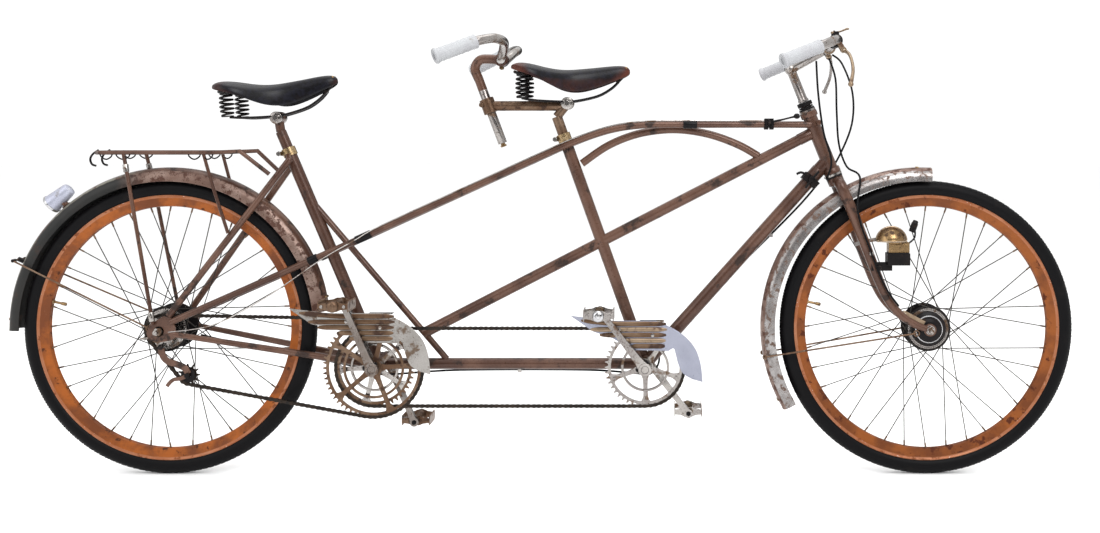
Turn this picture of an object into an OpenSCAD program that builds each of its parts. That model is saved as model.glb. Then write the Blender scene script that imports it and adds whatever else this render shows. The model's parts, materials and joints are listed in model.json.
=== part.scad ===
// Tandem bicycle with a slender twin-tube frame, drum brake hubs and leather sprung saddles.
// Millimetres, +X forward, +Z up, the chain side is at -Y, the origin is on the ground.

/* [Wheels] */
// Distance between the wheel axles
wheelbase = 1835.5; // [1815:0.5:1850]
// Outer radius of the tyres
tyre_r = 355.5; // [352:0.5:358]
// Thickness of a tyre
tyre_w = 40; // [36:1:42]
// Radius of the rims' inner edge
rim_inner_r = 293; // [288:1:297]
// Spokes in a wheel
spoke_count = 36; // [24:4:36]

/* [Frame] */
// Diameter of the down tube
down_tube_d = 32; // [28:1:34]
// Diameter of the main diagonal tube
diagonal_d = 26; // [22:1:28]
// Diameter of each lateral tube
lateral_d = 16; // [13:1:17]
// Diameter of the arch tube
arch_d = 19; // [16:1:20]
// Diameter of the stays
stay_d = 16; // [14:1:17]

/* [Drive] */
// Length of a crank between its centres
crank_l = 175; // [160:1:178]
// Teeth on each timing ring
timing_teeth = 46; // [42:2:46]
// Teeth on the drive ring
drive_teeth = 58; // [54:2:58]
// Teeth on the rear sprocket
sprocket_teeth = 18; // [16:1:20]
// Teeth on the tension pulley
pulley_teeth = 11; // [10:1:12]

/* [Guards] */
// Half width of the mudguards
guard_half_w = 29; // [26:1:30]
// Outer radius of the mudguards
guard_r = 388; // [382:1:390]

/* [Hidden] */
$fn = 48;

// Places of the axles and bottom brackets
axle_z = tyre_r;
rear_x = -900.7;
front_x = rear_x + wheelbase;
rear_hub_at = [rear_x, 0, axle_z];
front_hub_at = [front_x, 0, axle_z];
stoker_bb = [-394.5, 0, 266];
captain_bb = [253.2, 0, 266];

// Running fit between a turning or sliding piece and its bore
fit = 0.1;

// Head axis, leaning back by 22 degrees from upright
head_lean = 22;
head_mid = [680.2, 0, 800.7];
head_dir = [-sin(head_lean), 0, cos(head_lean)];
head_low = head_mid - 78 * head_dir;
head_top = head_mid + 84 * head_dir;
head_d = 34;
steerer_d = 25.4;

// Seat tubes: top of each tube, and the axis from its bottom bracket
captain_seat_top = [52.6, 0, 825];
stoker_seat_top = [-617, 0, 790];
captain_seat_dir = unit(captain_seat_top - captain_bb);
stoker_seat_dir = unit(stoker_seat_top - stoker_bb);
seat_tube_d = 29;
down_tube_top = [693, 0, 757];
post_d = 25.4;
seat_bore_l = 190;
post_in = 150;

// Chain lines, measured from the middle plane towards the chain side
timing_y = -48;
drive_y = -57.5;
pitch = 12.7;
timing_r = pitch / (2 * sin(180 / timing_teeth));
drive_r = pitch / (2 * sin(180 / drive_teeth));
sprocket_r = pitch / (2 * sin(180 / sprocket_teeth));
pulley_r = pitch / (2 * sin(180 / pulley_teeth));
pulley_at = [-835, drive_y, 250];
tooth_w = 3;
crank_in = 70;
crank_w = 14;
crank_turn = 127.5;
stoker_crank_turn = 113.5;
axle_d = 17;
pedal_axle_d = 12;
pedal_l = 92;

function unit(v) = v / norm(v);
function lerp(a, b, t) = a + (b - a) * t;
function mirror_y(p) = [p[0], -p[1], p[2]];

// Smooth curve through the points of a list, n pieces to a span
function knot(p, i) = p[max(0, min(len(p) - 1, i))];
function spline_at(a, b, c, d, t) =
    b + 0.5 * t * (c - a + t * (2 * a - 5 * b + 4 * c - d + t * (3 * (b - c) + d - a)));
function spline(p, n) = concat([for (i = [0:len(p) - 2]) for (k = [0:n - 1])
    spline_at(knot(p, i - 1), p[i], p[i + 1], knot(p, i + 2), k / n)], [p[len(p) - 1]]);

// Straight line from a to b as the children's Z axis
module along(a, b) {
    d = b - a;
    translate(a)
        rotate([0, acos(d[2] / norm(d)), atan2(d[1], d[0])])
            children();
}

module rod(a, b, d) {
    along(a, b)
        cylinder(h = norm(b - a), d = d);
}

module cone_rod(a, b, d1, d2) {
    along(a, b)
        cylinder(h = norm(b - a), d1 = d1, d2 = d2);
}

// Rods through the points, with round joints a little fatter than the rods
module bent_rod(points, d) {
    for (i = [0:len(points) - 2])
        rod(points[i], points[i + 1], d);
    if (len(points) > 2)
        for (i = [1:len(points) - 2])
            translate(points[i])
                sphere(d = d + 0.4);
}

// Tube swept along points, its rings turned so that they don't twist
function tangents(p) = [for (i = [0:len(p) - 1]) unit(knot(p, i + 1) - knot(p, i - 1))];
function next_side(side, t) = unit(side - t * (side * t));
function sides_from(t, side, i) =
    i == len(t) ? [] : let (s = next_side(side, t[i])) concat([s], sides_from(t, s, i + 1));
module swept(points, radii, n) {
    t = tangents(points);
    start = abs(t[0][1]) < 0.9 ? [0, 1, 0] : [1, 0, 0];
    side = sides_from(t, start, 0);
    rings = [for (i = [0:len(points) - 1]) for (k = [0:n - 1])
        points[i] + radii[i] * (cos(360 * k / n) * side[i] + sin(360 * k / n) * cross(t[i], side[i]))];
    last = (len(points) - 1) * n;
    walls = [for (i = [0:len(points) - 2]) for (k = [0:n - 1])
        [i * n + k, (i + 1) * n + k, (i + 1) * n + (k + 1) % n, i * n + (k + 1) % n]];
    ends = [[for (k = [0:n - 1]) k], [for (k = [0:n - 1]) last + n - 1 - k]];
    polyhedron(points = rings, faces = concat(ends, walls));
}

module cord(points, d) {
    swept(points, [for (p = points) d / 2], 8);
}

// A plate in the XZ plane, centred on y
module plate(y, t) {
    translate([0, y + t / 2, 0])
        rotate([90, 0, 0])
            linear_extrude(t)
                children();
}

// A cylinder across the bicycle from y1 to y2
module cross_pin(x, z, y1, y2, d) {
    translate([x, min(y1, y2), z])
        rotate([-90, 0, 0])
            cylinder(h = abs(y2 - y1), d = d);
}

// ---------------------------------------------------------------- frame

paint = "#6b4a3c";
plated = "#b9b3a8";
dark = "#2b2624";
brass = "#a9854f";
leather = "#3a2a2a";

module head_tube() {
    color(paint)
        difference() {
            union() {
                rod(head_low, head_top, head_d);
                rod(head_low, head_low + 14 * head_dir, head_d + 5);
                rod(head_top - 14 * head_dir, head_top, head_d + 5);
            }
            rod(head_low - head_dir, head_top + head_dir, steerer_d + 6);
        }
}

module cup(at, dir, d) {
    difference() {
        union() {
            rod(at, at + 5 * dir, d);
            rod(at - 12 * dir, at, steerer_d + 6);
        }
        rod(at - 20 * dir, at + 20 * dir, steerer_d + fit);
    }
}

module headset_cups() {
    color(plated) {
        cup(head_low, -head_dir, 42);
        cup(head_top, head_dir, 40);
    }
}

module down_tube() {
    a = down_tube_top;
    b = captain_bb;
    color(paint)
        difference() {
            rod(a, b, down_tube_d);
            rod(head_low - 30 * head_dir, head_top, head_d);
            rod(head_low - 30 * head_dir, head_low + 14 * head_dir, head_d + 5);
            cross_pin(b[0], b[2], -60, 60, 44);
            rod(b, captain_seat_top, seat_tube_d);
        }
}

// The main diagonal and the thin stoker diagonal
module diagonal_tubes() {
    color(paint) {
        difference() {
            rod([664, 0, 829.3], [-286, 0, 340], diagonal_d);
            rod(head_low, head_top + 40 * head_dir, head_d);
            rod(captain_bb, captain_seat_top, seat_tube_d);
        }
        difference() {
            rod([-574, 0, 678.6], [-230, 0, 277], 15);
            rod(stoker_bb, stoker_seat_top, seat_tube_d);
            rod([stoker_bb[0], 0, 266], [captain_bb[0], 0, 266], 27);
            rod([664, 0, 829.3], [-286, 0, 340], diagonal_d);
        }
    }
}

module bottom_tube() {
    color(paint)
        difference() {
            rod(stoker_bb, captain_bb, 27);
            rod(stoker_bb, stoker_seat_top, seat_tube_d);
            rod(captain_bb, captain_seat_top, seat_tube_d);
            cross_pin(stoker_bb[0], stoker_bb[2], -60, 60, 44);
            cross_pin(captain_bb[0], captain_bb[2], -60, 60, 44);
        }
}

module seat_tube(bb, top, dir) {
    color(paint)
        difference() {
            rod(bb, top, seat_tube_d);
            rod(top - seat_bore_l * dir, top + dir, post_d + fit);
            cross_pin(bb[0], bb[2], -60, 60, 44);
        }
}

module captain_seat_tube() {
    seat_tube(captain_bb, captain_seat_top, captain_seat_dir);
}

module stoker_seat_tube() {
    seat_tube(stoker_bb, stoker_seat_top, stoker_seat_dir);
}

// The twin tubes from the rear axle past the captain's seat tube to the head
lateral_pts = [[-874, -72, 377], [-420, -45, 578], [40, -24, 788], [115, -24, 818], [175, -24, 836],
    [235, -24, 845], [310, -23, 847.5], [655, -16, 847.5]];
module lateral_tubes() {
    color(paint)
        difference() {
            union() {
                bent_rod(lateral_pts, lateral_d);
                bent_rod([for (p = lateral_pts) mirror_y(p)], lateral_d);
            }
            rod(head_low, head_top + 40 * head_dir, head_d + 5.2);
            rod(captain_bb, captain_seat_top, seat_tube_d);
        }
}

arch_pts = [[97, 0, 752], [160, 0, 795], [225, 0, 822], [290, 0, 834], [350, 0, 834], [415, 0, 822],
    [480, 0, 798], [535, 0, 768]];
module arch_tube() {
    color(paint)
        difference() {
            bent_rod(arch_pts, arch_d);
            rod(captain_bb, captain_seat_top, seat_tube_d);
            rod([664, 0, 829.3], [-286, 0, 340], diagonal_d);
        }
}

module axle_plate() {
    plate(-71.5, 5)
        difference() {
            polygon([[-925, 335], [-930, 352], [-922, 372], [-890, 392], [-872, 388], [-862, 366],
                [-860, 344], [-872, 334], [-898, 330]]);
            translate([rear_x, axle_z])
                circle(d = 10);
        }
}

module chain_stay() {
    difference() {
        union() {
            cone_rod([stoker_bb[0] - 12, -22, 268], [-866, -70.5, 348], 18, 13);
            axle_plate();
        }
        cross_pin(stoker_bb[0], stoker_bb[2], -60, 60, 44);
        rod(lateral_pts[0], lateral_pts[1], lateral_d);
    }
}

// Each stay runs from the seat lug to the top of the axle plate
module seat_stay() {
    difference() {
        union() {
            rod([-606, -26, 762], [-878, -71.5, 392], stay_d);
            rod([-612, -14, 771], [-606, -26, 762], stay_d);
            translate([-606, -26, 762])
                sphere(d = stay_d + 0.4);
        }
        rod(stoker_bb, stoker_seat_top, seat_tube_d);
        rod(stoker_seat_top - 22 * stoker_seat_dir, stoker_seat_top + 5 * stoker_seat_dir, seat_tube_d + 5.4);
        rod(lateral_pts[0], lateral_pts[1], lateral_d);
    }
}

module rear_stays() {
    color(paint)
        for (s = [0, 1])
            mirror([0, s, 0]) {
                chain_stay();
                seat_stay();
            }
}

module shell(at) {
    difference() {
        cross_pin(at[0], at[2], -35, 35, 44);
        cross_pin(at[0], at[2], -40, 40, axle_d + fit);
    }
}

module bottom_brackets() {
    color(paint) {
        shell(stoker_bb);
        shell(captain_bb);
    }
}

module collar(top, dir) {
    a = top - 20 * dir;
    difference() {
        union() {
            rod(a, top, seat_tube_d + 5);
            translate(top - 10 * dir + [-19, 0, -4])
                cube([14, 16, 10], center = true);
            translate(top - 10 * dir + [-22, 0, -4])
                rotate([90, 0, 0])
                    cylinder(h = 26, d = 7, center = true);
        }
        rod(a - 20 * dir, top + 20 * dir, seat_tube_d);
    }
}

module seat_collars() {
    color(brass) {
        collar(captain_seat_top, captain_seat_dir);
        collar(stoker_seat_top, stoker_seat_dir);
    }
}

// ---------------------------------------------------------------- mudguards

guard_t = 1.6;
guard_side = 33;
function guard_arch(r, w) = [for (i = [0:12])
    [r - guard_side + guard_side * pow(sin(180 * i / 12), 0.7), -w * cos(180 * i / 12)]];
module guard_section() {
    difference() {
        polygon(guard_arch(guard_r, guard_half_w));
        translate([-guard_t, 0])
            polygon(guard_arch(guard_r, guard_half_w - guard_t));
    }
}

// Arc of mudguard round a wheel, from angle a to angle b above the forward direction
module guard(at, a, b) {
    translate(at)
        rotate([90, 0, 0])
            rotate([0, 0, a])
                rotate_extrude(angle = b - a, $fn = 96)
                    guard_section();
}

// The rear stays are one wire that loops over the crown, held there by a clip
module rear_mudguard() {
    tail = [rear_x - 369, -guard_half_w - 2.6, 519];
    tail_mid = [tail[0], 0, tail[2]];
    tail_out = (tail_mid - guard_centre) / norm(tail_mid - guard_centre);
    color(paint) {
        guard(guard_centre, 6, 181);
        rod(tail, mirror_y(tail), 5);
        rod(guard_centre + (guard_r - 1) * tail_out, tail_mid, 8);
        for (s = [0, 1])
            mirror([0, s, 0]) {
                rod([rear_x - 26, -66, axle_z + 6], tail, 5);
                translate(tail)
                    rotate([90, 0, 0])
                        cylinder(h = 5.4, d = 11, center = true);
            }
    }
}

module front_mudguard() {
    tip = [541, -guard_half_w - 2.6, 287];
    color(plated) {
        guard([front_x - 14, 0, axle_z], 86, 211);
        for (s = [0, 1])
            mirror([0, s, 0]) {
                rod([front_x - 32, -50.6, axle_z - 8], tip, 5);
                rod(tip, [tip[0], -12, tip[2]], 5);
                translate(tip)
                    rotate([90, 0, 0])
                        cylinder(h = 5.4, d = 11, center = true);
            }
    }
}

// ---------------------------------------------------------------- rack and lamp

rack_z = 780;
rack_rod = 10;
rack_half = 62;
module luggage_rack() {
    color(paint) {
        bent_rod([[-1060, 0, rack_z], [-1060, -rack_half + 14, rack_z], [-1046, -rack_half, rack_z],
            [-780, -rack_half, rack_z], [-712, -rack_half, rack_z + 3], [-648, -44, 728]], rack_rod);
        bent_rod([[-1060, 0, rack_z], [-1060, rack_half - 14, rack_z], [-1046, rack_half, rack_z],
            [-780, rack_half, rack_z], [-712, rack_half, rack_z + 3], [-648, 44, 728]], rack_rod);
        for (x = [-990, -800])
            rod([x, -rack_half, rack_z], [x, rack_half, rack_z], 8);
        for (y = [-22, 22])
            rod([-1060, y, rack_z], [-800, y, rack_z], 6);
        for (s = [0, 1])
            mirror([0, s, 0]) {
                bent_rod([[-990, -rack_half, rack_z], [-975, -68, 710], [-912, -79.5, 372]], 9);
                bent_rod([[-800, -rack_half, rack_z], [-778, -60, 700], [-742, -58.2, 587.6]], 8);
            }
    }
}

// The lamp lies along the mudguard, at this angle above the forward direction
lamp_turn = 130.6;
lamp_out = [cos(lamp_turn), 0, sin(lamp_turn)];
lamp_dir = [-sin(lamp_turn), 0, cos(lamp_turn)];
guard_centre = [rear_x - 2, 0, axle_z];
module rear_lamp() {
    middle = guard_centre + (guard_r + 26.5) * lamp_out;
    base = middle - 34 * lamp_dir;
    color(plated) {
        cone_rod(base, base + 58 * lamp_dir, 34, 46);
        rod(base + 58 * lamp_dir, base + 62 * lamp_dir, 50);
        cone_rod(base + 62 * lamp_dir, base + 68 * lamp_dir, 42, 30);
        rod(guard_centre + (guard_r + 0.3) * lamp_out, middle, 9);
    }
}

// ---------------------------------------------------------------- rear axle and drive

module rear_axle() {
    color(plated) {
        cross_pin(rear_x, axle_z, -98, 98, 9.9);
        for (s = [0, 1])
            mirror([0, s, 0])
                translate([rear_x, -74, axle_z])
                    rotate([90, 0, 0])
                        difference() {
                            cylinder(h = 9, d = 20, $fn = 6);
                            translate([0, 0, -1])
                                cylinder(h = 20, d = 9.9);
                        }
    }
}

// Points of a toothed wheel: two at each tip and two at each root
function tooth_points(n, r) = [for (i = [0:n - 1]) each [
    (r - 4) * [cos(360 * (i - 0.28) / n), sin(360 * (i - 0.28) / n)],
    (r + 3.8) * [cos(360 * (i - 0.08) / n), sin(360 * (i - 0.08) / n)],
    (r + 3.8) * [cos(360 * (i + 0.08) / n), sin(360 * (i + 0.08) / n)],
    (r - 4) * [cos(360 * (i + 0.28) / n), sin(360 * (i + 0.28) / n)]]];

// A chainring with five arms, round its own centre in the XZ plane
module spider_ring(n, r, y, hub_r, arm_turn) {
    plate(y, tooth_w)
        difference() {
            polygon(tooth_points(n, r));
            circle(r = r - 11);
        }
    plate(y, tooth_w) {
        difference() {
            circle(r = r * 0.62);
            circle(r = r * 0.62 - 6);
        }
        for (k = [0:4])
            rotate(arm_turn + 72 * k)
                translate([hub_r - 2, -5])
                    square([r - 10 - hub_r + 2.5, 10]);
    }
    plate(y, 8)
        difference() {
            circle(r = hub_r);
            circle(d = axle_d);
        }
}

module captain_ring() {
    color(plated)
        translate([captain_bb[0], 0, captain_bb[2]])
            spider_ring(timing_teeth, timing_r, timing_y, 20, 55);
}

module stoker_rings() {
    color(brass)
        translate([stoker_bb[0], 0, stoker_bb[2]]) {
            spider_ring(timing_teeth, timing_r, timing_y, 20, 40);
            spider_ring(drive_teeth, drive_r, drive_y, 20, 4);
        }
}

// Closed outline round circles [x, z, r] taken in clockwise order
function turn_of(a, b) = let (d = [b[0] - a[0], b[1] - a[1]])
    atan2(d[1], d[0]) + acos((a[2] - b[2]) / norm(d));
function belt_points(c, h) = [for (i = [0:len(c) - 1])
    let (a = c[i], b = c[(i + 1) % len(c)], t = turn_of(a, b))
    each [[a[0], a[1]] + (a[2] + h) * [cos(t), sin(t)], [b[0], b[1]] + (b[2] + h) * [cos(t), sin(t)]]];
module belt_area(c, h) {
    polygon(belt_points(c, h));
    for (a = c)
        translate([a[0], a[1]])
            circle(r = a[2] + h, $fn = 96);
}

// Chain as its two rows of side plates, which pass on each side of the teeth
module chain_loop(c, y) {
    for (s = [-1, 1])
        plate(y + s * 3.4, 2)
            difference() {
                belt_area(c, 4);
                belt_area(c, -4);
            }
}

module timing_chain() {
    color(dark)
        chain_loop([[stoker_bb[0], stoker_bb[2], timing_r], [captain_bb[0], captain_bb[2], timing_r]],
            timing_y);
}

module drive_chain() {
    color(dark)
        chain_loop([[rear_x, axle_z, sprocket_r], [stoker_bb[0], stoker_bb[2], drive_r],
            [pulley_at[0], pulley_at[2], pulley_r]], drive_y);
}

module sprocket() {
    color(plated)
        translate([rear_x, 0, axle_z])
            rotate([0, 5, 0]) {
                plate(drive_y, tooth_w)
                    difference() {
                        polygon(tooth_points(sprocket_teeth, sprocket_r));
                        circle(d = 10);
                    }
                plate(-60, 12)
                    difference() {
                        circle(r = 22);
                        circle(d = 10);
                    }
            }
}

module tension_pulley() {
    color(dark)
        translate([pulley_at[0], 0, pulley_at[2]])
            plate(drive_y, tooth_w)
                difference() {
                    polygon(tooth_points(pulley_teeth, pulley_r));
                    circle(d = 8 + fit);
                }
}

module tensioner_arm() {
    color(paint) {
        plate(-66.2, 4)
            polygon([[-908, 322], [-893, 327], [-886, 300], [-862, 282], [-842, 271], [-824, 262],
                [-820, 246], [-832, 238], [-856, 240], [-872, 236], [-876, 224], [-886, 222],
                [-889, 232], [-884, 250], [-890, 272], [-906, 288]]);
        cross_pin(pulley_at[0], pulley_at[2], -64.2, -53, 8);
        cross_pin(-898, 318, -69, -68.2, 12);
    }
}

// ---------------------------------------------------------------- chainguards

guard_y = -65.6;
// Outline of a hockey-stick guard round its bottom bracket, from the rear point clockwise
function guard_outline(tail, top) = concat(
    [[tail, top + 12], [tail + 95, top]],
    [[24, top], [48, top - 9], [80, top - 26], [104, top - 46], [122, top - 71], [133, top - 106],
     [137, top - 146]],
    [[112, top - 139], [90, top - 125], [79, top - 103], [73, top - 80], [68, top - 66],
     [56, top - 72], [-30, top - 70], [-76, top - 42], [tail + 55, top - 26]]);

module chainguard(bb, tail, top) {
    translate([bb[0], 0, bb[2]]) {
        plate(guard_y, 2)
            polygon(guard_outline(tail, top));
        // Flutes along the body
        for (k = [0:4])
            rod([tail + 60 + 22 * k, guard_y - 1, top - 6 - 13 * k],
                [40 + 2 * k, guard_y - 1, top - 8 - 13 * k], 4);
        // Tabs that hold the guard to the frame
        translate([16, guard_y + 12.5, top + 0.9])
            cube([60, 25, 1.8], center = true);
    }
}

module captain_chainguard() {
    color(plated)
        chainguard(captain_bb, -178, 114);
}

module stoker_chainguard() {
    color(paint)
        chainguard(stoker_bb, -202, 132);
}

// ---------------------------------------------------------------- cranks and pedals

function crank_end(bb, turn, y) = [bb[0] + crank_l * cos(turn), y, bb[2] + crank_l * sin(turn)];

// One crank on the side of sign s, pointing towards the angle turn
module crank(bb, turn, s) {
    e = crank_end(bb, turn, 0);
    y1 = s * crank_in;
    y2 = s * (crank_in + crank_w);
    difference() {
        union() {
            cross_pin(bb[0], bb[2], y1, y2, 32);
            cross_pin(e[0], e[2], y1, y2, 22);
            translate([bb[0], s * (crank_in + crank_w / 2), bb[2]])
                rotate([0, -turn, 0])
                    translate([crank_l / 2, 0, 0])
                        cube([crank_l - 18, crank_w - 2, 15], center = true);
        }
        cross_pin(bb[0], bb[2], -120, 120, axle_d);
        cross_pin(e[0], e[2], -120, 120, pedal_axle_d);
    }
    cross_pin(e[0], e[2], s * crank_in, s * (crank_in + crank_w + pedal_l), pedal_axle_d);
}

module crank_pair(bb, turn) {
    crank(bb, turn, -1);
    crank(bb, turn + 180, 1);
    cross_pin(bb[0], bb[2], -crank_in - crank_w, crank_in + crank_w, axle_d);
}

module captain_cranks() {
    color(plated)
        crank_pair(captain_bb, crank_turn);
}

module stoker_cranks() {
    color(plated)
        crank_pair(stoker_bb, stoker_crank_turn);
}

// A rat-trap pedal on the crank end, level, with two serrated cage plates
module pedal(at, s) {
    inner = crank_in + crank_w + 3;
    outer = inner + pedal_l - 8;
    translate([at[0], 0, at[2]])
        difference() {
            union() {
                cross_pin(0, 0, s * inner, s * (outer - 4), 24);
                cross_pin(0, 0, s * (outer - 4), s * (outer + 8), 27);
                for (y = [inner + 4, outer - 8])
                    translate([0, s * y, 0])
                        cube([68, 3, 14], center = true);
                for (x = [-34, 34])
                    translate([x, s * (inner + outer - 4) / 2, 0])
                        cube([3, outer - inner - 6, 26], center = true);
            }
            cross_pin(0, 0, s * (inner - 5), s * (inner + pedal_l - 2.5), pedal_axle_d + fit);
        }
}

module captain_pedal_right() {
    color(brass)
        pedal(crank_end(captain_bb, crank_turn, 0), -1);
}

module captain_pedal_left() {
    color(brass)
        pedal(crank_end(captain_bb, crank_turn + 180, 0), 1);
}

module stoker_pedal_right() {
    color(paint)
        pedal(crank_end(stoker_bb, stoker_crank_turn, 0), -1);
}

module stoker_pedal_left() {
    color(paint)
        pedal(crank_end(stoker_bb, stoker_crank_turn + 180, 0), 1);
}

// ---------------------------------------------------------------- wheels

rim_w = 28;
module spin_solid() {
    rotate([90, 0, 0])
        rotate_extrude($fn = 128)
            children();
}

module tyre(at) {
    color(dark)
        translate(at)
            spin_solid()
                difference() {
                    translate([tyre_r - tyre_w / 2, 0])
                        circle(d = tyre_w);
                    translate([tyre_r - tyre_w - 5, -30])
                        square([tyre_w - 37.5 + 5, 60]);
                    translate([tyre_r - tyre_w - 5, -rim_w / 2 + 0.1])
                        square([tyre_w - 31.5 + 5, rim_w - 0.2]);
                }
}

module rim(at) {
    well = tyre_r - 31.5;
    color("#9a5a2e")
        translate(at)
            spin_solid()
                polygon([[rim_inner_r, -8], [rim_inner_r + 6, -13], [tyre_r - 37.6, -rim_w / 2],
                    [well - 0.1, -rim_w / 2 + 0.2], [well - 0.1, -rim_w / 2 + 2], [well - 6, -rim_w / 2 + 4],
                    [well - 6, rim_w / 2 - 4], [well - 0.1, rim_w / 2 - 2], [well - 0.1, rim_w / 2 - 0.2],
                    [tyre_r - 37.6, rim_w / 2], [rim_inner_r + 6, 13], [rim_inner_r, 8]]);
}

// Crossed spokes, laced in groups of four to the two hub flanges
module spokes(at, flange_r, flange_y) {
    color("#8d8a84")
        translate(at)
            for (k = [0:spoke_count - 1]) {
                s = k % 2 == 0 ? 1 : -1;
                lead = k % 4 < 2 ? 62 : -62;
                a = 360 * k / spoke_count;
                hub = [flange_r * cos(a + lead), s * flange_y, flange_r * sin(a + lead)];
                end = [(rim_inner_r + 0.2) * cos(a), s * 3, (rim_inner_r + 0.2) * sin(a)];
                rod(hub, end, 2);
                rod(lerp(hub, end, 0.955), end, 4);
            }
}

// Drum hub with its two flanges and a bore for the axle
module drum_hub(at, flange_r, flange_y, drum_r) {
    color(dark)
        translate(at)
            difference() {
                union() {
                    cross_pin(0, 0, -flange_y - 2, flange_y + 2, 44);
                    for (s = [-1, 1])
                        cross_pin(0, 0, s * (flange_y - 2), s * (flange_y + 2), 2 * flange_r + 8);
                    cross_pin(0, 0, -flange_y - 1, -10, 2 * drum_r);
                }
                cross_pin(0, 0, -90, 90, 10);
            }
}

front_flange_y = 26;
rear_flange_y = 30;
flange_r = 50;

module front_tyre() {
    tyre(front_hub_at);
}

module front_rim() {
    rim(front_hub_at);
}

module front_spokes() {
    spokes(front_hub_at, flange_r + 3.8, front_flange_y);
}

module front_hub() {
    drum_hub(front_hub_at, flange_r, front_flange_y, 46);
}

module rear_tyre() {
    tyre(rear_hub_at);
}

module rear_rim() {
    rim(rear_hub_at);
}

module rear_spokes() {
    spokes(rear_hub_at, flange_r + 3.8, rear_flange_y);
}

module rear_hub() {
    drum_hub(rear_hub_at, flange_r, rear_flange_y, 46);
}

// ---------------------------------------------------------------- fork and steering

fork_crown = head_low - 22 * head_dir;
blade_pts = [[724, -38, 700], [752, -44, 634], [790, -47, 534], [818, -48, 462], [842, -49, 417],
    [872, -50, 385], [905, -51, 366], [928, -51, 358]];
blade_ds = [27, 27, 25, 23, 21, 19, 17, 15];
module blade() {
    for (i = [0:len(blade_pts) - 2])
        cone_rod(blade_pts[i], blade_pts[i + 1], blade_ds[i], blade_ds[i + 1]);
    for (i = [1:len(blade_pts) - 2])
        translate(blade_pts[i])
            sphere(d = blade_ds[i] + 0.5);
}

module fork_end() {
    plate(-51, 6)
        translate([front_x, axle_z])
            circle(d = 30);
}

module fork() {
    color(paint)
        difference() {
            union() {
                rod(fork_crown, head_top + 26 * head_dir, steerer_d);
                rod(fork_crown - 5 * head_dir, fork_crown + 14 * head_dir, 40);
                for (s = [0, 1])
                    mirror([0, s, 0]) {
                        blade();
                        fork_end();
                        rod(fork_crown + [0, 0, 2], [724, -38, 700], 27);
                        translate([724, -38, 700])
                            sphere(d = 29);
                    }
            }
            cross_pin(front_x, axle_z, -90, 90, 9.9);
            translate([front_x - 14, 0, axle_z])
                rotate([90, 0, 0])
                    cylinder(h = 2 * guard_half_w + 1.5, r = guard_r + 0.6, center = true, $fn = 96);
        }
}

bar_clamp = [697, 0, 1034];
module stem() {
    a = head_top + 26 * head_dir;
    b = head_top + 112 * head_dir;
    color(plated)
        difference() {
            union() {
                rod(head_top + 6 * head_dir, a, 38);
                rod(a, b, 22);
                translate(b)
                    sphere(d = 30);
                rod(b, bar_clamp, 24);
                translate(bar_clamp)
                    rotate([90, 0, 0])
                        cylinder(h = 44, d = 34, center = true);
            }
            rod(head_low, a, steerer_d);
            translate(bar_clamp)
                rotate([90, 0, 0])
                    cylinder(h = 60, d = 23, center = true);
        }
}

// Pivot of the brake levers, ahead of the bar
lever_x = 717;
lever_z = 1020;

// Half of the captain's bar: out from the clamp, forward and round, and back to the grip
captain_bar_pts = [[697, -5, 1034], [697, -40, 1034], [700, -85, 1040], [699, -135, 1043],
    [688, -185, 1038], [668, -222, 1029], [650, -241.2, 1020.8], [630, -249.2, 1012.6],
    [595, -263.2, 998.2], [564, -275.6, 985.4]];
module captain_bar() {
    path = spline(captain_bar_pts, 3);
    color(plated) {
        for (s = [0, 1])
            mirror([0, s, 0])
                swept(path, [for (p = path) 11], 16);
        cross_pin(697, 1034, -6, 6, 22.9);
    }
}

// A split clamp round the bar, w wide
module bar_clamp_ring(x, y, z, w) {
    translate([x, y, z])
        rotate([90, 0, 0])
            difference() {
                cylinder(h = w, d = 32, center = true);
                cylinder(h = w + 2, d = 25.6, center = true);
            }
}

// Clamps with the pins that the brake levers and the thumb lever turn on
module lever_mounts() {
    color(brass) {
        for (s = [-1, 1]) {
            bar_clamp_ring(699, s * 120, 1041.8, 18);
            for (y = [112, 128])
                difference() {
                    rod([701, s * y, 1040], [lever_x, s * y, lever_z], 3);
                    bar_clamp_ring(699, s * 120, 1041.8, 18);
                    translate([699, s * y, 1041.8])
                        rotate([90, 0, 0])
                            cylinder(h = 30, d = 25.6, center = true);
                }
            cross_pin(lever_x, lever_z, s * 110.4, s * 129.6, 4.9);
        }
        bar_clamp_ring(699, -94, 1040.6, 12);
        translate([699, -94, 1055.6])
            cylinder(h = 4.4, d = 14);
        translate([699, -94, 1060])
            cylinder(h = 8, d = 4.9);
    }
}

module grip(a, b, d) {
    difference() {
        union() {
            rod(a, b, d);
            rod(b, b + 5 * unit(b - a), d + 4);
        }
        rod(a - unit(b - a), b + 6 * unit(b - a), 25);
    }
}

module captain_grips() {
    color("#b8b8bc")
        for (s = [0, 1])
            mirror([0, s, 0])
                grip([648, -242, 1020], [563, -276, 985], 33);
}

module brake_lever(s) {
    color(paint)
        difference() {
            union() {
                bent_rod([[lever_x, s * 120, lever_z], [727, s * 150, 1006], [729, s * 185, 972],
                    [719, s * 215, 936]], 9);
                cross_pin(lever_x, lever_z, s * 114.4, s * 125.6, 14);
            }
            cross_pin(lever_x, lever_z, -130, 130, 5);
        }
}

module brake_lever_right() {
    brake_lever(-1);
}

module brake_lever_left() {
    brake_lever(1);
}

module thumb_lever() {
    color(dark)
        difference() {
            union() {
                rod([701, -98, 1063], [728, -110, 1071], 4.6);
                translate([699, -94, 1060.4])
                    cylinder(h = 5.2, d = 16);
            }
            translate([699, -94, 1050])
                cylinder(h = 30, d = 5);
        }
}

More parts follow.
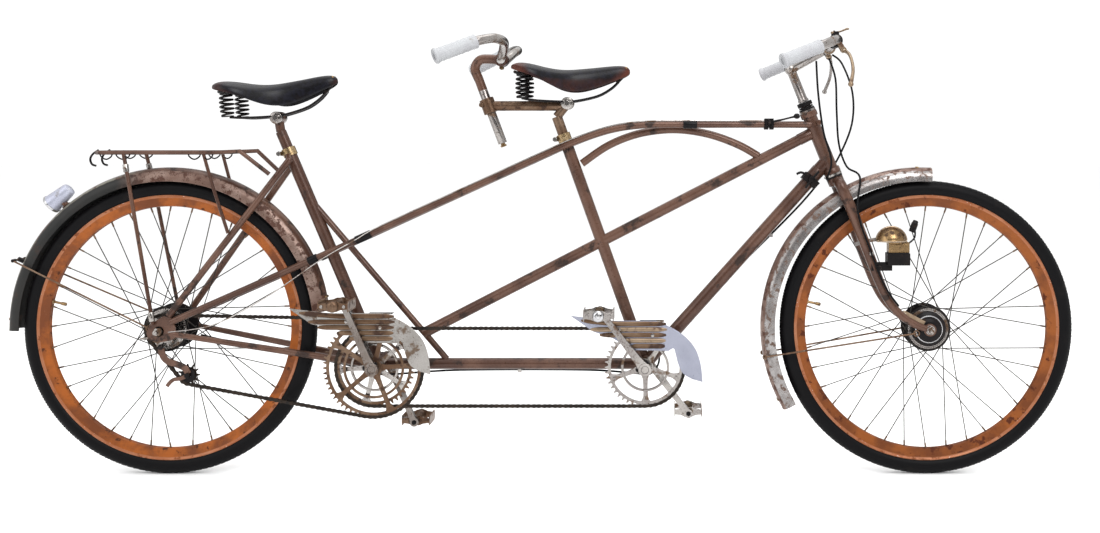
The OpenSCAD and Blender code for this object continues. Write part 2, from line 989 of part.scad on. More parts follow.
module front_axle() {
    color(plated) {
        cross_pin(front_x, axle_z, -78, 78, 9.9);
        difference() {
            union() {
                for (s = [-1, 1])
                    cross_pin(front_x, axle_z, s * 54, s * 63, 20);
                cross_pin(front_x, axle_z, -47.6, -30, 84);
                plate(-44, 4)
                    polygon([[front_x - 10, axle_z + 20], [front_x - 62, axle_z + 46],
                        [front_x - 66, axle_z + 38], [front_x - 20, axle_z - 2]]);
            }
            // The blades of the fork pass the brake plate and the nuts here
            blade();
            mirror([0, 1, 0])
                blade();
        }
    }
}

// Lamp unit on the chain side fork blade: black bracket and body, plated box, brass dome
module fork_lamp() {
    color(brass) {
        difference() {
            translate([818, -52, 508])
                cube([56, 20, 26], center = true);
            for (i = [0:3])
                cone_rod(blade_pts[i], blade_pts[i + 1], blade_ds[i] + 0.6, blade_ds[i + 1] + 0.6);
        }
        translate([857, -52, 526])
            cube([54, 34, 30], center = true);
        translate([858, -52, 554])
            cube([50, 30, 26], center = true);
        translate([841, -52, 567])
            difference() {
                sphere(d = 72);
                translate([0, 0, -50])
                    cube(100, center = true);
            }
        translate([896, -52, 604])
            rotate([0, 20, 0])
                cylinder(h = 30, d = 16, center = true);
    }
}

// ---------------------------------------------------------------- cables

// Hand-set route of the cable down the fork to the front brake
fork_cable_pts = [[706, 40, 1012], [722, 40, 960], [724, 34, 880], [728, 24, 800], [746, 16, 745],
    [772, -22, 720], [760, -62, 640], [792, -68, 540], [824, -66, 462], [858, -60, 414]];
module fork_cable() {
    path = spline(fork_cable_pts, 3);
    color(dark)
        cord(path, 5);
}

// Hand-set routes of the two cables from the bar to the frame
gear_cable_pts = [[664, -40, 1000], [668, -46, 920], [680, -50, 830], [700, -44, 760], [690, -30, 715]];
loop_cable_pts = [[723, 102, 1025], [748, 104, 1002], [770, 80, 930], [764, 50, 850], [730, 34, 770],
    [694, 28, 715]];
module bar_cables() {
    color(dark) {
        cord(spline(gear_cable_pts, 3), 5);
        cord(spline(loop_cable_pts, 3), 5);
    }
}

// Hand-set route of the cable under the down tube and bottom tube to the rear hub
frame_cable_pts = [[676, 26, 702], [618, 24, 636], [460, 22, 478], [308, 26, 326], [290, 28, 292],
    [284, 28, 258], [262, 28, 234], [222, 25, 238], [100, 24, 246], [-200, 22, 246], [-350, 26, 236],
    [-396, 31, 234], [-440, 38, 246], [-560, 52, 268],
    [-760, 64, 304], [-852, 60, 326]];
module frame_cable() {
    color(dark)
        cord(frame_cable_pts, 5);
}

module lever_clamps() {
    color(dark) {
        cross_pin(552, 852, -43, -29, 5.9);
        difference() {
            translate([552, -17, 846])
                cube([26, 26, 30], center = true);
            rod([310, -23, 847.5], [655, -16, 847.5], lateral_d);
        }
        difference() {
            translate([654, 0, 712])
                rotate([0, -47, 0])
                    cube([24, 46, 48], center = true);
            rod(down_tube_top, captain_bb, down_tube_d);
        }
    }
}

module gear_lever() {
    color(dark)
        difference() {
            union() {
                cross_pin(552, 852, -38, -30.4, 20);
                rod([556, -34.2, 853], [616, -34.2, 867], 5);
                translate([618, -34.2, 867.5])
                    sphere(d = 15);
            }
            cross_pin(552, 852, -40, -28, 6);
        }
}

// ---------------------------------------------------------------- seats

// Middle of each saddle's clamp
captain_clamp = [64, 0, 899];
stoker_clamp = [-640, 0, 864];

// Outline ring of a saddle at one station: [x, half width, top, skirt]
function saddle_ring(s) = [for (k = [0:15]) let (a = 360 * k / 16, w = s[1], h = s[2] - s[3])
    [s[0], w * sign(cos(a)) * pow(abs(cos(a)), 0.7),
     a <= 180 ? s[2] - 0.45 * h * (1 - pow(abs(sin(a)), 1.3)) - 0.1 * h : s[3] + 0.45 * h * (1 - sin(a - 180))]];
module loft(rings, n) {
    pts = [for (r = rings) each r];
    m = len(rings);
    walls = [for (i = [0:m - 2]) for (k = [0:n - 1])
        [i * n + k, (i + 1) * n + k, (i + 1) * n + (k + 1) % n, i * n + (k + 1) % n]];
    polyhedron(points = pts,
        faces = concat([[for (k = [0:n - 1]) k]], [[for (k = [0:n - 1]) m * n - 1 - k]], walls));
}

// Stations of the leather top from tail to nose, from the middle of the clamp
saddle_stations = [[-133, 60, 92, 84], [-120, 88, 98.5, 77], [-104, 100, 99.5, 73],
    [-80, 102, 96, 67], [-55, 92, 88, 54], [-19, 60, 82, 30], [10, 42, 83, 25], [35, 34, 84, 26],
    [60, 29, 86, 32], [88, 26, 89, 41], [120, 23, 93, 56], [140, 18, 92, 66], [152, 9, 83, 72]];

module coil_can(at) {
    translate(at)
        cylinder(h = 53, d = 36);
}

// Leather top, two rear coils, rails and clamp round the top of the seat post
module saddle(at, tilt) {
    translate(at)
        rotate([0, tilt, 0]) {
        loft([for (s = saddle_stations) saddle_ring(s)], 16);
        for (s = [-1, 1]) {
            coil_can([-104, s * 52, 14]);
            rod([-98, s * 46, 10], [-18, s * 20, 5], 7);
            bent_rod([[18, s * 15, 5], [72, s * 11, 17], [120, s * 7, 44]], 7);
            cross_pin(0, 0, s * 11.3, s * 25, 30);
        }
    }
}

module captain_saddle() {
    color(leather)
        saddle(captain_clamp, 0);
}

module stoker_saddle() {
    color(leather)
        saddle(stoker_clamp, -5.4);
}

// Seat post with a top that reaches the saddle clamp
module seat_post(top, dir, clamp) {
    rod(top - post_in * dir, top + 44 * dir, post_d);
    rod(top + 44 * dir, clamp, 22);
    cross_pin(clamp[0], clamp[2], -11.1, 11.1, 30);
}

module stoker_seat_post() {
    color(paint)
        seat_post(stoker_seat_top, stoker_seat_dir, stoker_clamp);
}

extension_z = 893;
module captain_seat_post() {
    a = [-128, 0, extension_z];
    b = [40, 0, extension_z];
    color(plated) {
        seat_post(captain_seat_top, captain_seat_dir, captain_clamp);
    }
    color(paint)
        difference() {
            union() {
                rod(a + [10, 0, 0], b, 24);
                rod(b - [4, 0, 0], b + [16, 0, 0], 20);
                rod(a - 18 * stoker_bar_dir, a + 18 * stoker_bar_dir, 34);
            }
            rod(a - 40 * stoker_bar_dir, a + 40 * stoker_bar_dir, 22 + fit);
        }
}

stoker_bar_dir = unit([-165, 0, 988] - [-95, 0, 800]);
stoker_bar_at = [-128, 0, extension_z];
stoker_pts = [[-96, -20.4, 1004], [-92, -45, 1007], [-80, -90, 1026], [-74, -140, 1038],
    [-88, -185, 1042], [-118, -222, 1034], [-160, -252, 1017], [-208, -270, 995]];
module stoker_bar() {
    top = stoker_bar_at + 110 * stoker_bar_dir;
    path = spline(stoker_pts, 3);
    color(plated) {
        rod(stoker_bar_at - 98 * stoker_bar_dir, top, 22);
        translate(top)
            sphere(d = 26);
        rod(top, [-100, 0, 1004], 21);
        translate([-96, 0, 1004])
            rotate([90, 0, 0])
                cylinder(h = 40, d = 32, center = true);
        for (s = [0, 1])
            mirror([0, s, 0]) {
                swept(path, [for (p = path) 11], 16);
                grip([-124, -227, 1032], [-206, -269, 996], 34);
            }
    }
}

head_tube();
headset_cups();
down_tube();
diagonal_tubes();
bottom_tube();
captain_seat_tube();
stoker_seat_tube();
lateral_tubes();
arch_tube();
rear_stays();
bottom_brackets();
seat_collars();
rear_mudguard();
luggage_rack();
rear_lamp();
rear_axle();
tensioner_arm();
captain_chainguard();
stoker_chainguard();
timing_chain();
drive_chain();
frame_cable();
lever_clamps();
fork();
stem();
captain_bar();
captain_grips();
front_mudguard();
front_axle();
fork_lamp();
lever_mounts();
fork_cable();
bar_cables();
brake_lever_right();
brake_lever_left();
thumb_lever();
gear_lever();
front_tyre();
front_rim();
front_spokes();
front_hub();
rear_tyre();
rear_rim();
rear_spokes();
rear_hub();
sprocket();
tension_pulley();
captain_cranks();
captain_ring();
stoker_cranks();
stoker_rings();
captain_pedal_right();
captain_pedal_left();
stoker_pedal_right();
stoker_pedal_left();
captain_seat_post();
captain_saddle();
stoker_seat_post();
stoker_saddle();
stoker_bar();
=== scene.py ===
"""Tandem bicycle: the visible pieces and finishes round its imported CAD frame."""

import json
import logging
from dataclasses import dataclass, field
from enum import Enum
from math import acos, atan2, copysign, cos, degrees, hypot, pi, radians, sin
from typing import Callable, Iterable, Optional, Sequence, Union

import bmesh
import bpy
from mathutils import Matrix, Vector


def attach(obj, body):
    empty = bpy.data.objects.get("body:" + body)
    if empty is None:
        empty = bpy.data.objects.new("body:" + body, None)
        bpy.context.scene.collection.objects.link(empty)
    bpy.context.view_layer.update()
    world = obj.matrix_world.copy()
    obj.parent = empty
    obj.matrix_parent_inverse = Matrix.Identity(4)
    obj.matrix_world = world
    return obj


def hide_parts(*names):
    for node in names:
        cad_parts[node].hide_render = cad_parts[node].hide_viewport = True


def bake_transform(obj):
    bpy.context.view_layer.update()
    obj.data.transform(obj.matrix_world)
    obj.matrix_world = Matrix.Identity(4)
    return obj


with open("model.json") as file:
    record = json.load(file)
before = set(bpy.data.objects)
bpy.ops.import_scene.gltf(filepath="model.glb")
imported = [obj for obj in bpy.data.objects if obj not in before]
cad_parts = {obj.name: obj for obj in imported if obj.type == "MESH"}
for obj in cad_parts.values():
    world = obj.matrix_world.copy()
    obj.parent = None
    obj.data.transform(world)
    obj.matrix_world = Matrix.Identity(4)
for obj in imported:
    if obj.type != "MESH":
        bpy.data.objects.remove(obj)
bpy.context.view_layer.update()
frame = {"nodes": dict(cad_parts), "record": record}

logging.basicConfig(level=logging.INFO, format="%(message)s")
LOG = logging.getLogger("tandem")

MM = 0.001
WELD = 2e-6
BEVEL_ANGLE = radians(35)
ORIGIN = Vector((0, 0, 0))
Y_AXIS = Vector((0, 1, 0))
SIDES = (-1, 1)
WORDS = ((-1, "right"), (1, "left"))
CORNERS = ((-1, -1), (1, -1), (1, 1), (-1, 1))
Point = Sequence[float]
Colour = tuple[float, float, float]


# ---------------------------------------------------------------- shader kit

class Sock:
    """An output socket whose operators add Math nodes to its material."""

    def __init__(self, paint: "Paint", socket: bpy.types.NodeSocket) -> None:
        """Args: paint: the material builder. socket: the output that is wrapped."""
        self.paint = paint
        self.socket = socket

    def _math(self, operation: str, first: "Value", second: "Value" = 0.0) -> "Sock":
        """Adds a Math node.

        Args:
            operation: the node's operation.
            first: first value or link.
            second: second value or link.
        Returns:
            The node's output.
        """
        return self.paint.node("ShaderNodeMath", {"operation": operation}, {0: first, 1: second})

    def __add__(self, other: "Value") -> "Sock":
        """Sum. Args: other: a socket or number. Returns: the sum."""
        return self._math("ADD", self, other)

    def __sub__(self, other: "Value") -> "Sock":
        """Difference. Args: other: a socket or number. Returns: the difference."""
        return self._math("SUBTRACT", self, other)

    def __mul__(self, other: "Value") -> "Sock":
        """Product. Args: other: a socket or number. Returns: the product."""
        return self._math("MULTIPLY", self, other)

    def __radd__(self, other: float) -> "Sock":
        """Reflected sum. Args: other: a number. Returns: the sum."""
        return self._math("ADD", other, self)

    def __rsub__(self, other: float) -> "Sock":
        """Reflected difference. Args: other: a number. Returns: the difference."""
        return self._math("SUBTRACT", other, self)

    def __rmul__(self, other: float) -> "Sock":
        """Reflected product. Args: other: a number. Returns: the product."""
        return self._math("MULTIPLY", other, self)

    def sine(self) -> "Sock":
        """Sine of an angle in radians. Returns: the sine."""
        return self._math("SINE", self)

    def root(self) -> "Sock":
        """Square root. Returns: the root."""
        return self._math("SQRT", self)


Value = Union[float, Sock]
Tint = Union[Colour, Sock]


class Paint:
    """Builds one material out of procedural nodes over the object's own coordinates."""

    def __init__(self, name: str) -> None:
        """Args: name: the material's name."""
        self.material = bpy.data.materials.new(name)
        self.material.use_nodes = True
        self.tree = self.material.node_tree
        self.tree.nodes.clear()
        self.place = self.node("ShaderNodeTexCoord", {}, {}, "Object")

    def node(self, kind: str, settings: dict, sockets: dict, output: Union[int, str] = 0) -> Sock:
        """Adds one node.

        Args:
            kind: the node's type.
            settings: the node's own settings, set first.
            sockets: values, colours or links of its inputs, by index or name.
            output: which output is handed back.
        Returns:
            The chosen output.
        """
        made = self.tree.nodes.new(kind)
        for key, value in settings.items():
            setattr(made, key, value)
        for key, value in sockets.items():
            if isinstance(value, Sock):
                self.tree.links.new(value.socket, made.inputs[key])
            elif isinstance(value, tuple) and made.inputs[key].type == "RGBA":
                made.inputs[key].default_value = (*value, 1.0)
            else:
                made.inputs[key].default_value = value
        return Sock(self, made.outputs[output])

    def noise(self, scale: float, detail: float = 4.0, stretch: Colour = (1, 1, 1),
            seed: float = 0.0) -> Sock:
        """Noise over the object.

        Args:
            scale: features per metre.
            detail: octaves.
            stretch: scale along each axis.
            seed: shift that makes it differ from other noises.
        Returns:
            The noise, about 0.5 on average.
        """
        where = self.node("ShaderNodeMapping", {}, {"Vector": self.place, "Scale": stretch,
            "Location": (seed, seed * 0.7, seed * 0.3)})
        return self.node("ShaderNodeTexNoise", {}, {"Vector": where, "Scale": scale,
            "Detail": detail, "Roughness": 0.6})

    def band(self, value: Value, low: float, high: float) -> Sock:
        """Smooth step from 0 at low to 1 at high. Args: value, low, high. Returns: the step."""
        return self.node("ShaderNodeMapRange", {"interpolation_type": "SMOOTHSTEP"},
            {"Value": value, "From Min": low, "From Max": high, "To Min": 0.0, "To Max": 1.0})

    def fade(self, value: Value, edge: float, width: float) -> Sock:
        """Smooth step down, 1 below the edge and 0 above edge + width.

        Args:
            value: what is compared.
            edge: where the step begins.
            width: how wide the step is.
        Returns:
            The step.
        """
        return 1.0 - self.band(value, edge, edge + width)

    def mix(self, factor: Value, first: Tint, second: Tint) -> Sock:
        """Mixes two colours. Args: factor, first, second. Returns: the mixed colour."""
        return self.node("ShaderNodeMix", {"data_type": "RGBA"}, {0: factor, 6: first, 7: second},
            2)

    def blend(self, factor: Value, first: Value, second: Value) -> Sock:
        """Mixes two values. Args: factor, first, second. Returns: the mixed value."""
        return self.node("ShaderNodeMix", {"data_type": "FLOAT"}, {0: factor, 2: first, 3: second},
            0)

    def axis(self, index: int) -> Sock:
        """One object coordinate, in metres. Args: index: 0 to 2. Returns: the coordinate."""
        return self.node("ShaderNodeSeparateXYZ", {}, {0: self.place}, index)

    def distance(self, centre: Point) -> Sock:
        """Distance from a line across the bicycle. Args: centre: a point on it. Returns: metres."""
        dx = self.axis(0) - centre[0]
        dz = self.axis(2) - centre[2]
        return (dx * dx + dz * dz).root()

    def sloping(self, index: int) -> Sock:
        """One component of the surface's normal. Args: index: 0 to 2. Returns: -1 to 1."""
        normal = self.node("ShaderNodeTexCoord", {}, {}, "Normal")
        return self.node("ShaderNodeSeparateXYZ", {}, {0: normal}, index)

    def worn_edge(self, low: float = 0.56, high: float = 0.66) -> Sock:
        """Mask of the convex edges, from pointiness. Args: low, high. Returns: 1 on edges."""
        return self.band(self.node("ShaderNodeNewGeometry", {}, {}, "Pointiness"), low, high)

    def bump(self, height: Value, distance: float, strength: float = 0.5) -> Sock:
        """Bump from a height. Args: height, distance in metres, strength. Returns: the normal."""
        return self.node("ShaderNodeBump", {}, {"Height": height, "Distance": distance,
            "Strength": strength})

    def surface(self, colour: Tint, rough: Value, metal: Value, normal: Optional[Sock] = None,
            coat: Value = 0.0, specular: float = 0.3, **plain: float) -> bpy.types.Material:
        """Closes the material with one shader.

        Args:
            colour: base colour.
            rough: roughness.
            metal: metallic.
            normal: bumped normal.
            coat: coat weight.
            specular: strength of the white reflection on what isn't metal.
            plain: other sockets of the shader, as plain values.
        Returns:
            The finished material.
        """
        sockets: dict = {"Base Color": colour, "Roughness": rough, "Metallic": metal,
            "Coat Weight": coat, "Specular IOR Level": specular}
        if normal is not None:
            sockets["Normal"] = normal
        for key, value in plain.items():
            sockets[key.replace("_", " ").title()] = value
        shader = self.node("ShaderNodeBsdfPrincipled", {}, sockets)
        self.node_out(shader)
        shown = colour if isinstance(colour, tuple) else (0.4, 0.4, 0.4)
        self.material.diffuse_color = (*shown, 1.0)
        return self.material

    def node_out(self, shader: Sock) -> None:
        """Links a shader to the material's output. Args: shader: the shader."""
        made = self.tree.nodes.new("ShaderNodeOutputMaterial")
        self.tree.links.new(shader.socket, made.inputs["Surface"])


# ---------------------------------------------------------------- finishes

@dataclass(frozen=True)
class Coat:
    """Painted or plated metal with patches, freckles and worn edges.

    The first fields are colours. shares is how much of the surface patches, specks and worn
    edges take, and scales how many patches and specks fit in a metre. metals and roughs are
    metallic and roughness, each of the coat and of its patches.
    """

    name: str
    base: Colour
    tone: Colour
    patch: Colour
    speck: Colour
    edge: Colour
    shares: tuple = (0.3, 0.2, 0.6)
    scales: tuple = (22.0, 260.0)
    metals: tuple = (0.0, 0.2)
    roughs: tuple = (0.4, 0.6)
    grain: float = 0.00012
    coat: float = 0.0
    specular: float = 0.3

    def colours(self, paint: Paint) -> tuple[Sock, Sock, Sock, Sock]:
        """Lays the layers.

        Args:
            paint: the material builder.
        Returns:
            Colour, roughness, metallic and height.
        """
        patch_scale, speck_scale = self.scales
        patch_cut, speck_cut = 0.45 * self.shares[0], 0.4 * self.shares[1]
        broad = paint.noise(patch_scale * 0.35, 3, seed=3.1)
        patches = paint.noise(patch_scale, 7, seed=1.7)
        fine = paint.noise(speck_scale, 5, seed=8.2)
        patch = paint.band(patches + fine * 0.16, 0.82 - patch_cut, 0.9 - patch_cut)
        speck = paint.band(fine + broad * 0.2, 0.86 - speck_cut, 0.92 - speck_cut)
        edge = paint.worn_edge() * paint.band(fine, 0.35, 0.55) * self.shares[2]
        colour = paint.mix(paint.band(broad + fine * 0.2, 0.45, 0.75), self.base, self.tone)
        colour = paint.mix(patch, colour, self.patch)
        colour = paint.mix(speck, colour, self.speck)
        colour = paint.mix(edge, colour, self.edge)
        rough = paint.blend(patch, *self.roughs) + (fine - 0.5) * 0.22
        metal = paint.blend(patch, *self.metals)
        height = fine * 0.5 + patches - patch * 0.6 - speck * 0.4
        return colour, rough, metal, height

    def material(self) -> bpy.types.Material:
        """The finished material. Returns: the material."""
        paint = Paint(self.name)
        colour, rough, metal, height = self.colours(paint)
        return paint.surface(colour, rough, metal, paint.bump(height, self.grain, 0.7), self.coat,
            self.specular, coat_roughness=0.25)


@dataclass(frozen=True)
class Ringed:
    """A coat with a second one in a ring round a wheel, between two radii. Where a tail coat is
    given, it is painted shade: the ring behind tail_x takes it.
    """

    name: str
    coat: Coat
    ring: Coat
    centre: Point
    inner: float
    outer: float
    soft: float = 0.003
    ragged: float = 0.006
    # tail: near-black painted shade laid on the ring (the guard's flank) behind tail_x.
    tail: Optional[Coat] = None
    tail_x: float = -1.03
    tail_crown: Colour = (0.17, 0.17, 0.14)

    def material(self) -> bpy.types.Material:
        """The finished material. Returns: the material."""
        paint = Paint(self.name)
        main = self.coat.colours(paint)
        other = self.ring.colours(paint)
        ragged = (paint.noise(60, 5, seed=4.4) - 0.5) * (2 * self.ragged)
        radius = paint.distance(self.centre) + ragged
        mask = paint.band(radius, self.inner - self.soft, self.inner)
        mask = mask * paint.fade(radius, self.outer, self.soft)
        colour = paint.mix(mask, main[0], other[0])
        rough = paint.blend(mask, main[1], other[1])
        metal = paint.blend(mask, main[2], other[2])
        height = paint.blend(mask, main[3], other[3])
        # Painted shade: behind tail_x the ring (the guard's flank) turns near black where it lies
        # in shadow; grey-green patches go on the crown there.
        if self.tail is not None:
            dark = self.tail.colours(paint)
            behind = paint.fade(paint.axis(0) + ragged * 4, self.tail_x, 0.09)
            crown = behind * (1 - mask) * paint.band(paint.noise(26, 5, seed=6.6), 0.42, 0.52)
            colour = paint.mix(crown * 0.8, paint.mix(mask * behind, colour, dark[0]),
                self.tail_crown)
            rough = paint.blend(mask * behind, rough, dark[1])
            metal = metal * (1 - mask * behind)
        return paint.surface(colour, rough, metal, paint.bump(height, self.coat.grain, 0.7),
            specular=self.coat.specular)


@dataclass(frozen=True)
class Leather:
    """Tensioned saddle leather: dark and polished on top, worn red-brown round its edge."""

    name: str
    clamp: Point
    tail: float
    nose: float
    dark: Colour = (0.0025, 0.0022, 0.0032)
    blue: Colour = (0.0050, 0.0050, 0.0095)
    worn: Colour = (0.075, 0.018, 0.009)
    edge: float = 1.0

    def material(self) -> bpy.types.Material:
        """The finished material. Returns: the material."""
        paint = Paint(self.name)
        pores = paint.node("ShaderNodeTexVoronoi", {"feature": "F1"},
            {"Vector": paint.place, "Scale": 650.0})
        creases = paint.noise(90, 6, (1, 0.35, 1), seed=2.2)
        cracks = paint.noise(40, 8, seed=9.1)
        front = self.clamp[0] + self.nose
        ends = paint.fade(paint.axis(0), self.clamp[0] + self.tail, 0.075)
        ends = ends + paint.band(paint.axis(0), front - 0.02, front + 0.045)
        low = paint.fade(paint.sloping(2), 0.05, 0.35) * 0.16
        rim = paint.fade(paint.axis(2), self.clamp[2] + 0.052, 0.02) * 0.30
        wear = paint.band((ends * 0.85 + low + rim) * (cracks + 0.4) * self.edge, 0.20, 0.95)
        colour = paint.mix(paint.band(creases, 0.4, 0.65), self.dark, self.blue)
        colour = paint.mix(wear, colour, self.worn)
        scuff = paint.band(cracks + creases * 0.3, 0.80, 0.92)
        colour = paint.mix(scuff * 0.35, colour, (0.07, 0.030, 0.016))
        rough = paint.blend(wear, 0.34, 0.5) + scuff * 0.2 + (creases - 0.5) * 0.2
        height = creases * 0.6 + pores * -0.25 + cracks * 0.5
        return paint.surface(colour, rough, 0.0, paint.bump(height, 0.0006, 0.5), 0.08, 0.15,
            coat_roughness=0.3)


@dataclass(frozen=True)
class Rubber:
    """Tyre rubber or cable cover: near black with dust."""

    name: str
    base: Colour = (0.0035, 0.0033, 0.0038)
    dust: Colour = (0.018, 0.014, 0.012)
    dusty: float = 0.3
    rough: float = 0.5

    def material(self) -> bpy.types.Material:
        """The finished material. Returns: the material."""
        paint = Paint(self.name)
        broad = paint.noise(14, 6, seed=5.5)
        fine = paint.noise(420, 4)
        dust = paint.band(broad + fine * 0.2, 0.80 - 0.4 * self.dusty, 1.05 - 0.4 * self.dusty)
        colour = paint.mix(dust * 0.6, self.base, self.dust)
        rough = paint.blend(dust, self.rough, self.rough + 0.25) + (fine - 0.5) * 0.15
        return paint.surface(colour, rough, 0.0, paint.bump(fine + broad * 0.5, 0.00015, 0.5),
            specular=0.08)


@dataclass(frozen=True)
class Glass:
    """Moulded lens plastic or glass with fine prisms."""

    name: str
    base: Colour
    rough: float = 0.12

    def material(self) -> bpy.types.Material:
        """The finished material. Returns: the material."""
        paint = Paint(self.name)
        fine = paint.noise(300, 3)
        prisms = (paint.axis(1) * 900.0).sine() * 0.5 + (paint.axis(2) * 900.0).sine() * 0.5
        colour = paint.mix(fine * 0.4, self.base, tuple(0.6 * c for c in self.base))
        return paint.surface(colour, fine * 0.1 + self.rough, 0.0, paint.bump(prisms, 0.0004, 0.6),
            0.3, 0.3, coat_roughness=0.1)


BROWN: Colour = (0.050, 0.0215, 0.0135)

FRAME_PAINT = Coat("frame_paint", base=BROWN, tone=(0.100, 0.050, 0.033),
    patch=(0.020, 0.009, 0.0055), speck=(0.17, 0.105, 0.070), edge=(0.20, 0.14, 0.10),
    shares=(0.42, 0.12, 0.0), metals=(0.25, 0.2), roughs=(0.30, 0.55), coat=0.12)
GUARD_PAINT = Coat("guard_paint", base=(0.085, 0.045, 0.024), tone=(0.15, 0.095, 0.058),
    patch=(0.035, 0.015, 0.008), speck=(0.28, 0.22, 0.16), edge=(0.42, 0.37, 0.30),
    shares=(0.45, 0.28, 0.6), metals=(0.55, 0.15), roughs=(0.34, 0.6))
CHIPPED = Coat("chipped_plating", base=(0.135, 0.080, 0.062), tone=(0.23, 0.160, 0.132),
    patch=(0.060, 0.024, 0.015), speck=(0.040, 0.016, 0.010), edge=(0.62, 0.58, 0.54),
    shares=(0.55, 0.45, 0.2), scales=(48, 330), metals=(0.4, 0.05), roughs=(0.36, 0.65))
SILVERED = Coat("silvered_side", base=(0.31, 0.295, 0.29), tone=(0.185, 0.17, 0.165),
    patch=(0.090, 0.056, 0.042), speck=(0.075, 0.040, 0.026), edge=(0.7, 0.68, 0.66),
    shares=(0.5, 0.25, 0.2), scales=(62, 260), metals=(0.7, 0.2), roughs=(0.28, 0.5))
# Near-black painted shade for the flank at the rear mudguard's tail, where the flank lies in
# shadow.
TAIL_PAINTED_SHADE = Coat("tail_painted_shade", base=(0.004, 0.0045, 0.004), tone=(0.009, 0.008, 0.007),
    patch=(0.020, 0.011, 0.008), speck=(0.09, 0.07, 0.055), edge=(0.1, 0.08, 0.06),
    shares=(0.3, 0.1, 0.0), metals=(0.1, 0.2), roughs=(0.45, 0.6), specular=0.12)
BRIGHT = Coat("bright_plating", base=(0.56, 0.56, 0.57), tone=(0.42, 0.42, 0.43),
    patch=(0.30, 0.26, 0.22), speck=(0.10, 0.055, 0.030), edge=(0.8, 0.79, 0.77),
    shares=(0.25, 0.3, 0.6), scales=(22, 380), metals=(1.0, 0.8), roughs=(0.16, 0.36))
PLATING = Coat("dull_plating", base=(0.36, 0.34, 0.32), tone=(0.24, 0.22, 0.21),
    patch=(0.12, 0.075, 0.048), speck=(0.050, 0.025, 0.014), edge=(0.60, 0.58, 0.55),
    shares=(0.42, 0.4, 0.0), scales=(22, 360), metals=(0.95, 0.6), roughs=(0.22, 0.45))
WORN_STEEL = Coat("worn_steel", base=(0.25, 0.23, 0.215), tone=(0.15, 0.125, 0.11),
    patch=(0.080, 0.047, 0.029), speck=(0.045, 0.023, 0.013), edge=(0.55, 0.52, 0.50),
    shares=(0.5, 0.35, 0.3), scales=(22, 300), metals=(0.9, 0.5), roughs=(0.25, 0.5))
BRASS = Coat("brass", base=(0.27, 0.175, 0.085), tone=(0.17, 0.105, 0.050),
    patch=(0.055, 0.030, 0.015), speck=(0.025, 0.014, 0.008), edge=(0.55, 0.42, 0.24),
    shares=(0.42, 0.35, 0.6), scales=(45, 260), metals=(0.9, 0.5), roughs=(0.28, 0.5))
RUSTED = Coat("brown_rust", base=(0.095, 0.052, 0.030), tone=(0.155, 0.10, 0.066),
    patch=(0.040, 0.018, 0.009), speck=(0.28, 0.24, 0.20), edge=(0.42, 0.38, 0.33),
    shares=(0.45, 0.25, 0.0), scales=(60, 260), metals=(0.65, 0.2), roughs=(0.34, 0.6))
CHAIN_STEEL = Coat("chain_steel", base=(0.012, 0.009, 0.007), tone=(0.026, 0.018, 0.013),
    patch=(0.007, 0.005, 0.004), speck=(0.10, 0.075, 0.055), edge=(0.12, 0.09, 0.07),
    shares=(0.4, 0.12, 0.0), scales=(90, 260), metals=(0.6, 0.2), roughs=(0.36, 0.6))
BLACK = Coat("black_paint", base=(0.005, 0.0045, 0.005), tone=(0.010, 0.008, 0.008),
    patch=(0.020, 0.012, 0.009), speck=(0.07, 0.048, 0.034), edge=(0.09, 0.065, 0.05),
    shares=(0.25, 0.1, 0.3), scales=(50, 260), metals=(0.1, 0.2), roughs=(0.35, 0.6), specular=0.12)
SPOKE = Coat("spoke_steel", base=(0.014, 0.011, 0.010), tone=(0.030, 0.025, 0.022),
    patch=(0.045, 0.028, 0.018), speck=(0.012, 0.008, 0.006), edge=(0.1, 0.1, 0.09),
    shares=(0.3, 0.3, 0.6), scales=(35, 260), metals=(0.7, 0.2), roughs=(0.4, 0.5))
RIM_PAINT = Coat("rim_paint", base=(0.205, 0.060, 0.014), tone=(0.115, 0.034, 0.011),
    patch=(0.060, 0.014, 0.005), speck=(0.30, 0.13, 0.055), edge=(0.34, 0.16, 0.08),
    shares=(0.38, 0.16, 0.3), scales=(40, 260), metals=(0.1, 0.2), roughs=(0.36, 0.6),
    specular=0.15)
REAR_RIM = Coat("rear_rim_paint", base=(0.265, 0.073, 0.014), tone=(0.120, 0.036, 0.013),
    patch=(0.055, 0.018, 0.008), speck=(0.26, 0.13, 0.07), edge=(0.30, 0.16, 0.09),
    shares=(0.35, 0.14, 0.3), scales=(40, 260), metals=(0.1, 0.2), roughs=(0.36, 0.6),
    specular=0.15)
RIM_LINE = Coat("rim_line", base=(0.30, 0.125, 0.065), tone=(0.25, 0.085, 0.035),
    patch=(0.15, 0.045, 0.016), speck=(0.52, 0.38, 0.32), edge=(0.5, 0.35, 0.3),
    shares=(0.4, 0.3, 0.6), scales=(50, 260), metals=(0.3, 0.2), roughs=(0.34, 0.6))
GRIP = Coat("pale_grip", base=(0.34, 0.35, 0.36), tone=(0.31, 0.31, 0.325),
    patch=(0.22, 0.21, 0.20), speck=(0.10, 0.085, 0.075), edge=(0.55, 0.55, 0.58),
    shares=(0.2, 0.0, 0.0), scales=(26, 60), metals=(0.0, 0.0), roughs=(0.48, 0.5), grain=0.000005)
FIN_BLUE = Coat("fin_blue", base=(0.28, 0.29, 0.35), tone=(0.19, 0.20, 0.25),
    patch=(0.070, 0.060, 0.070), speck=(0.045, 0.030, 0.027), edge=(0.45, 0.44, 0.48),
    shares=(0.2, 0.2, 0.6), metals=(0.8, 0.5), roughs=(0.24, 0.42))
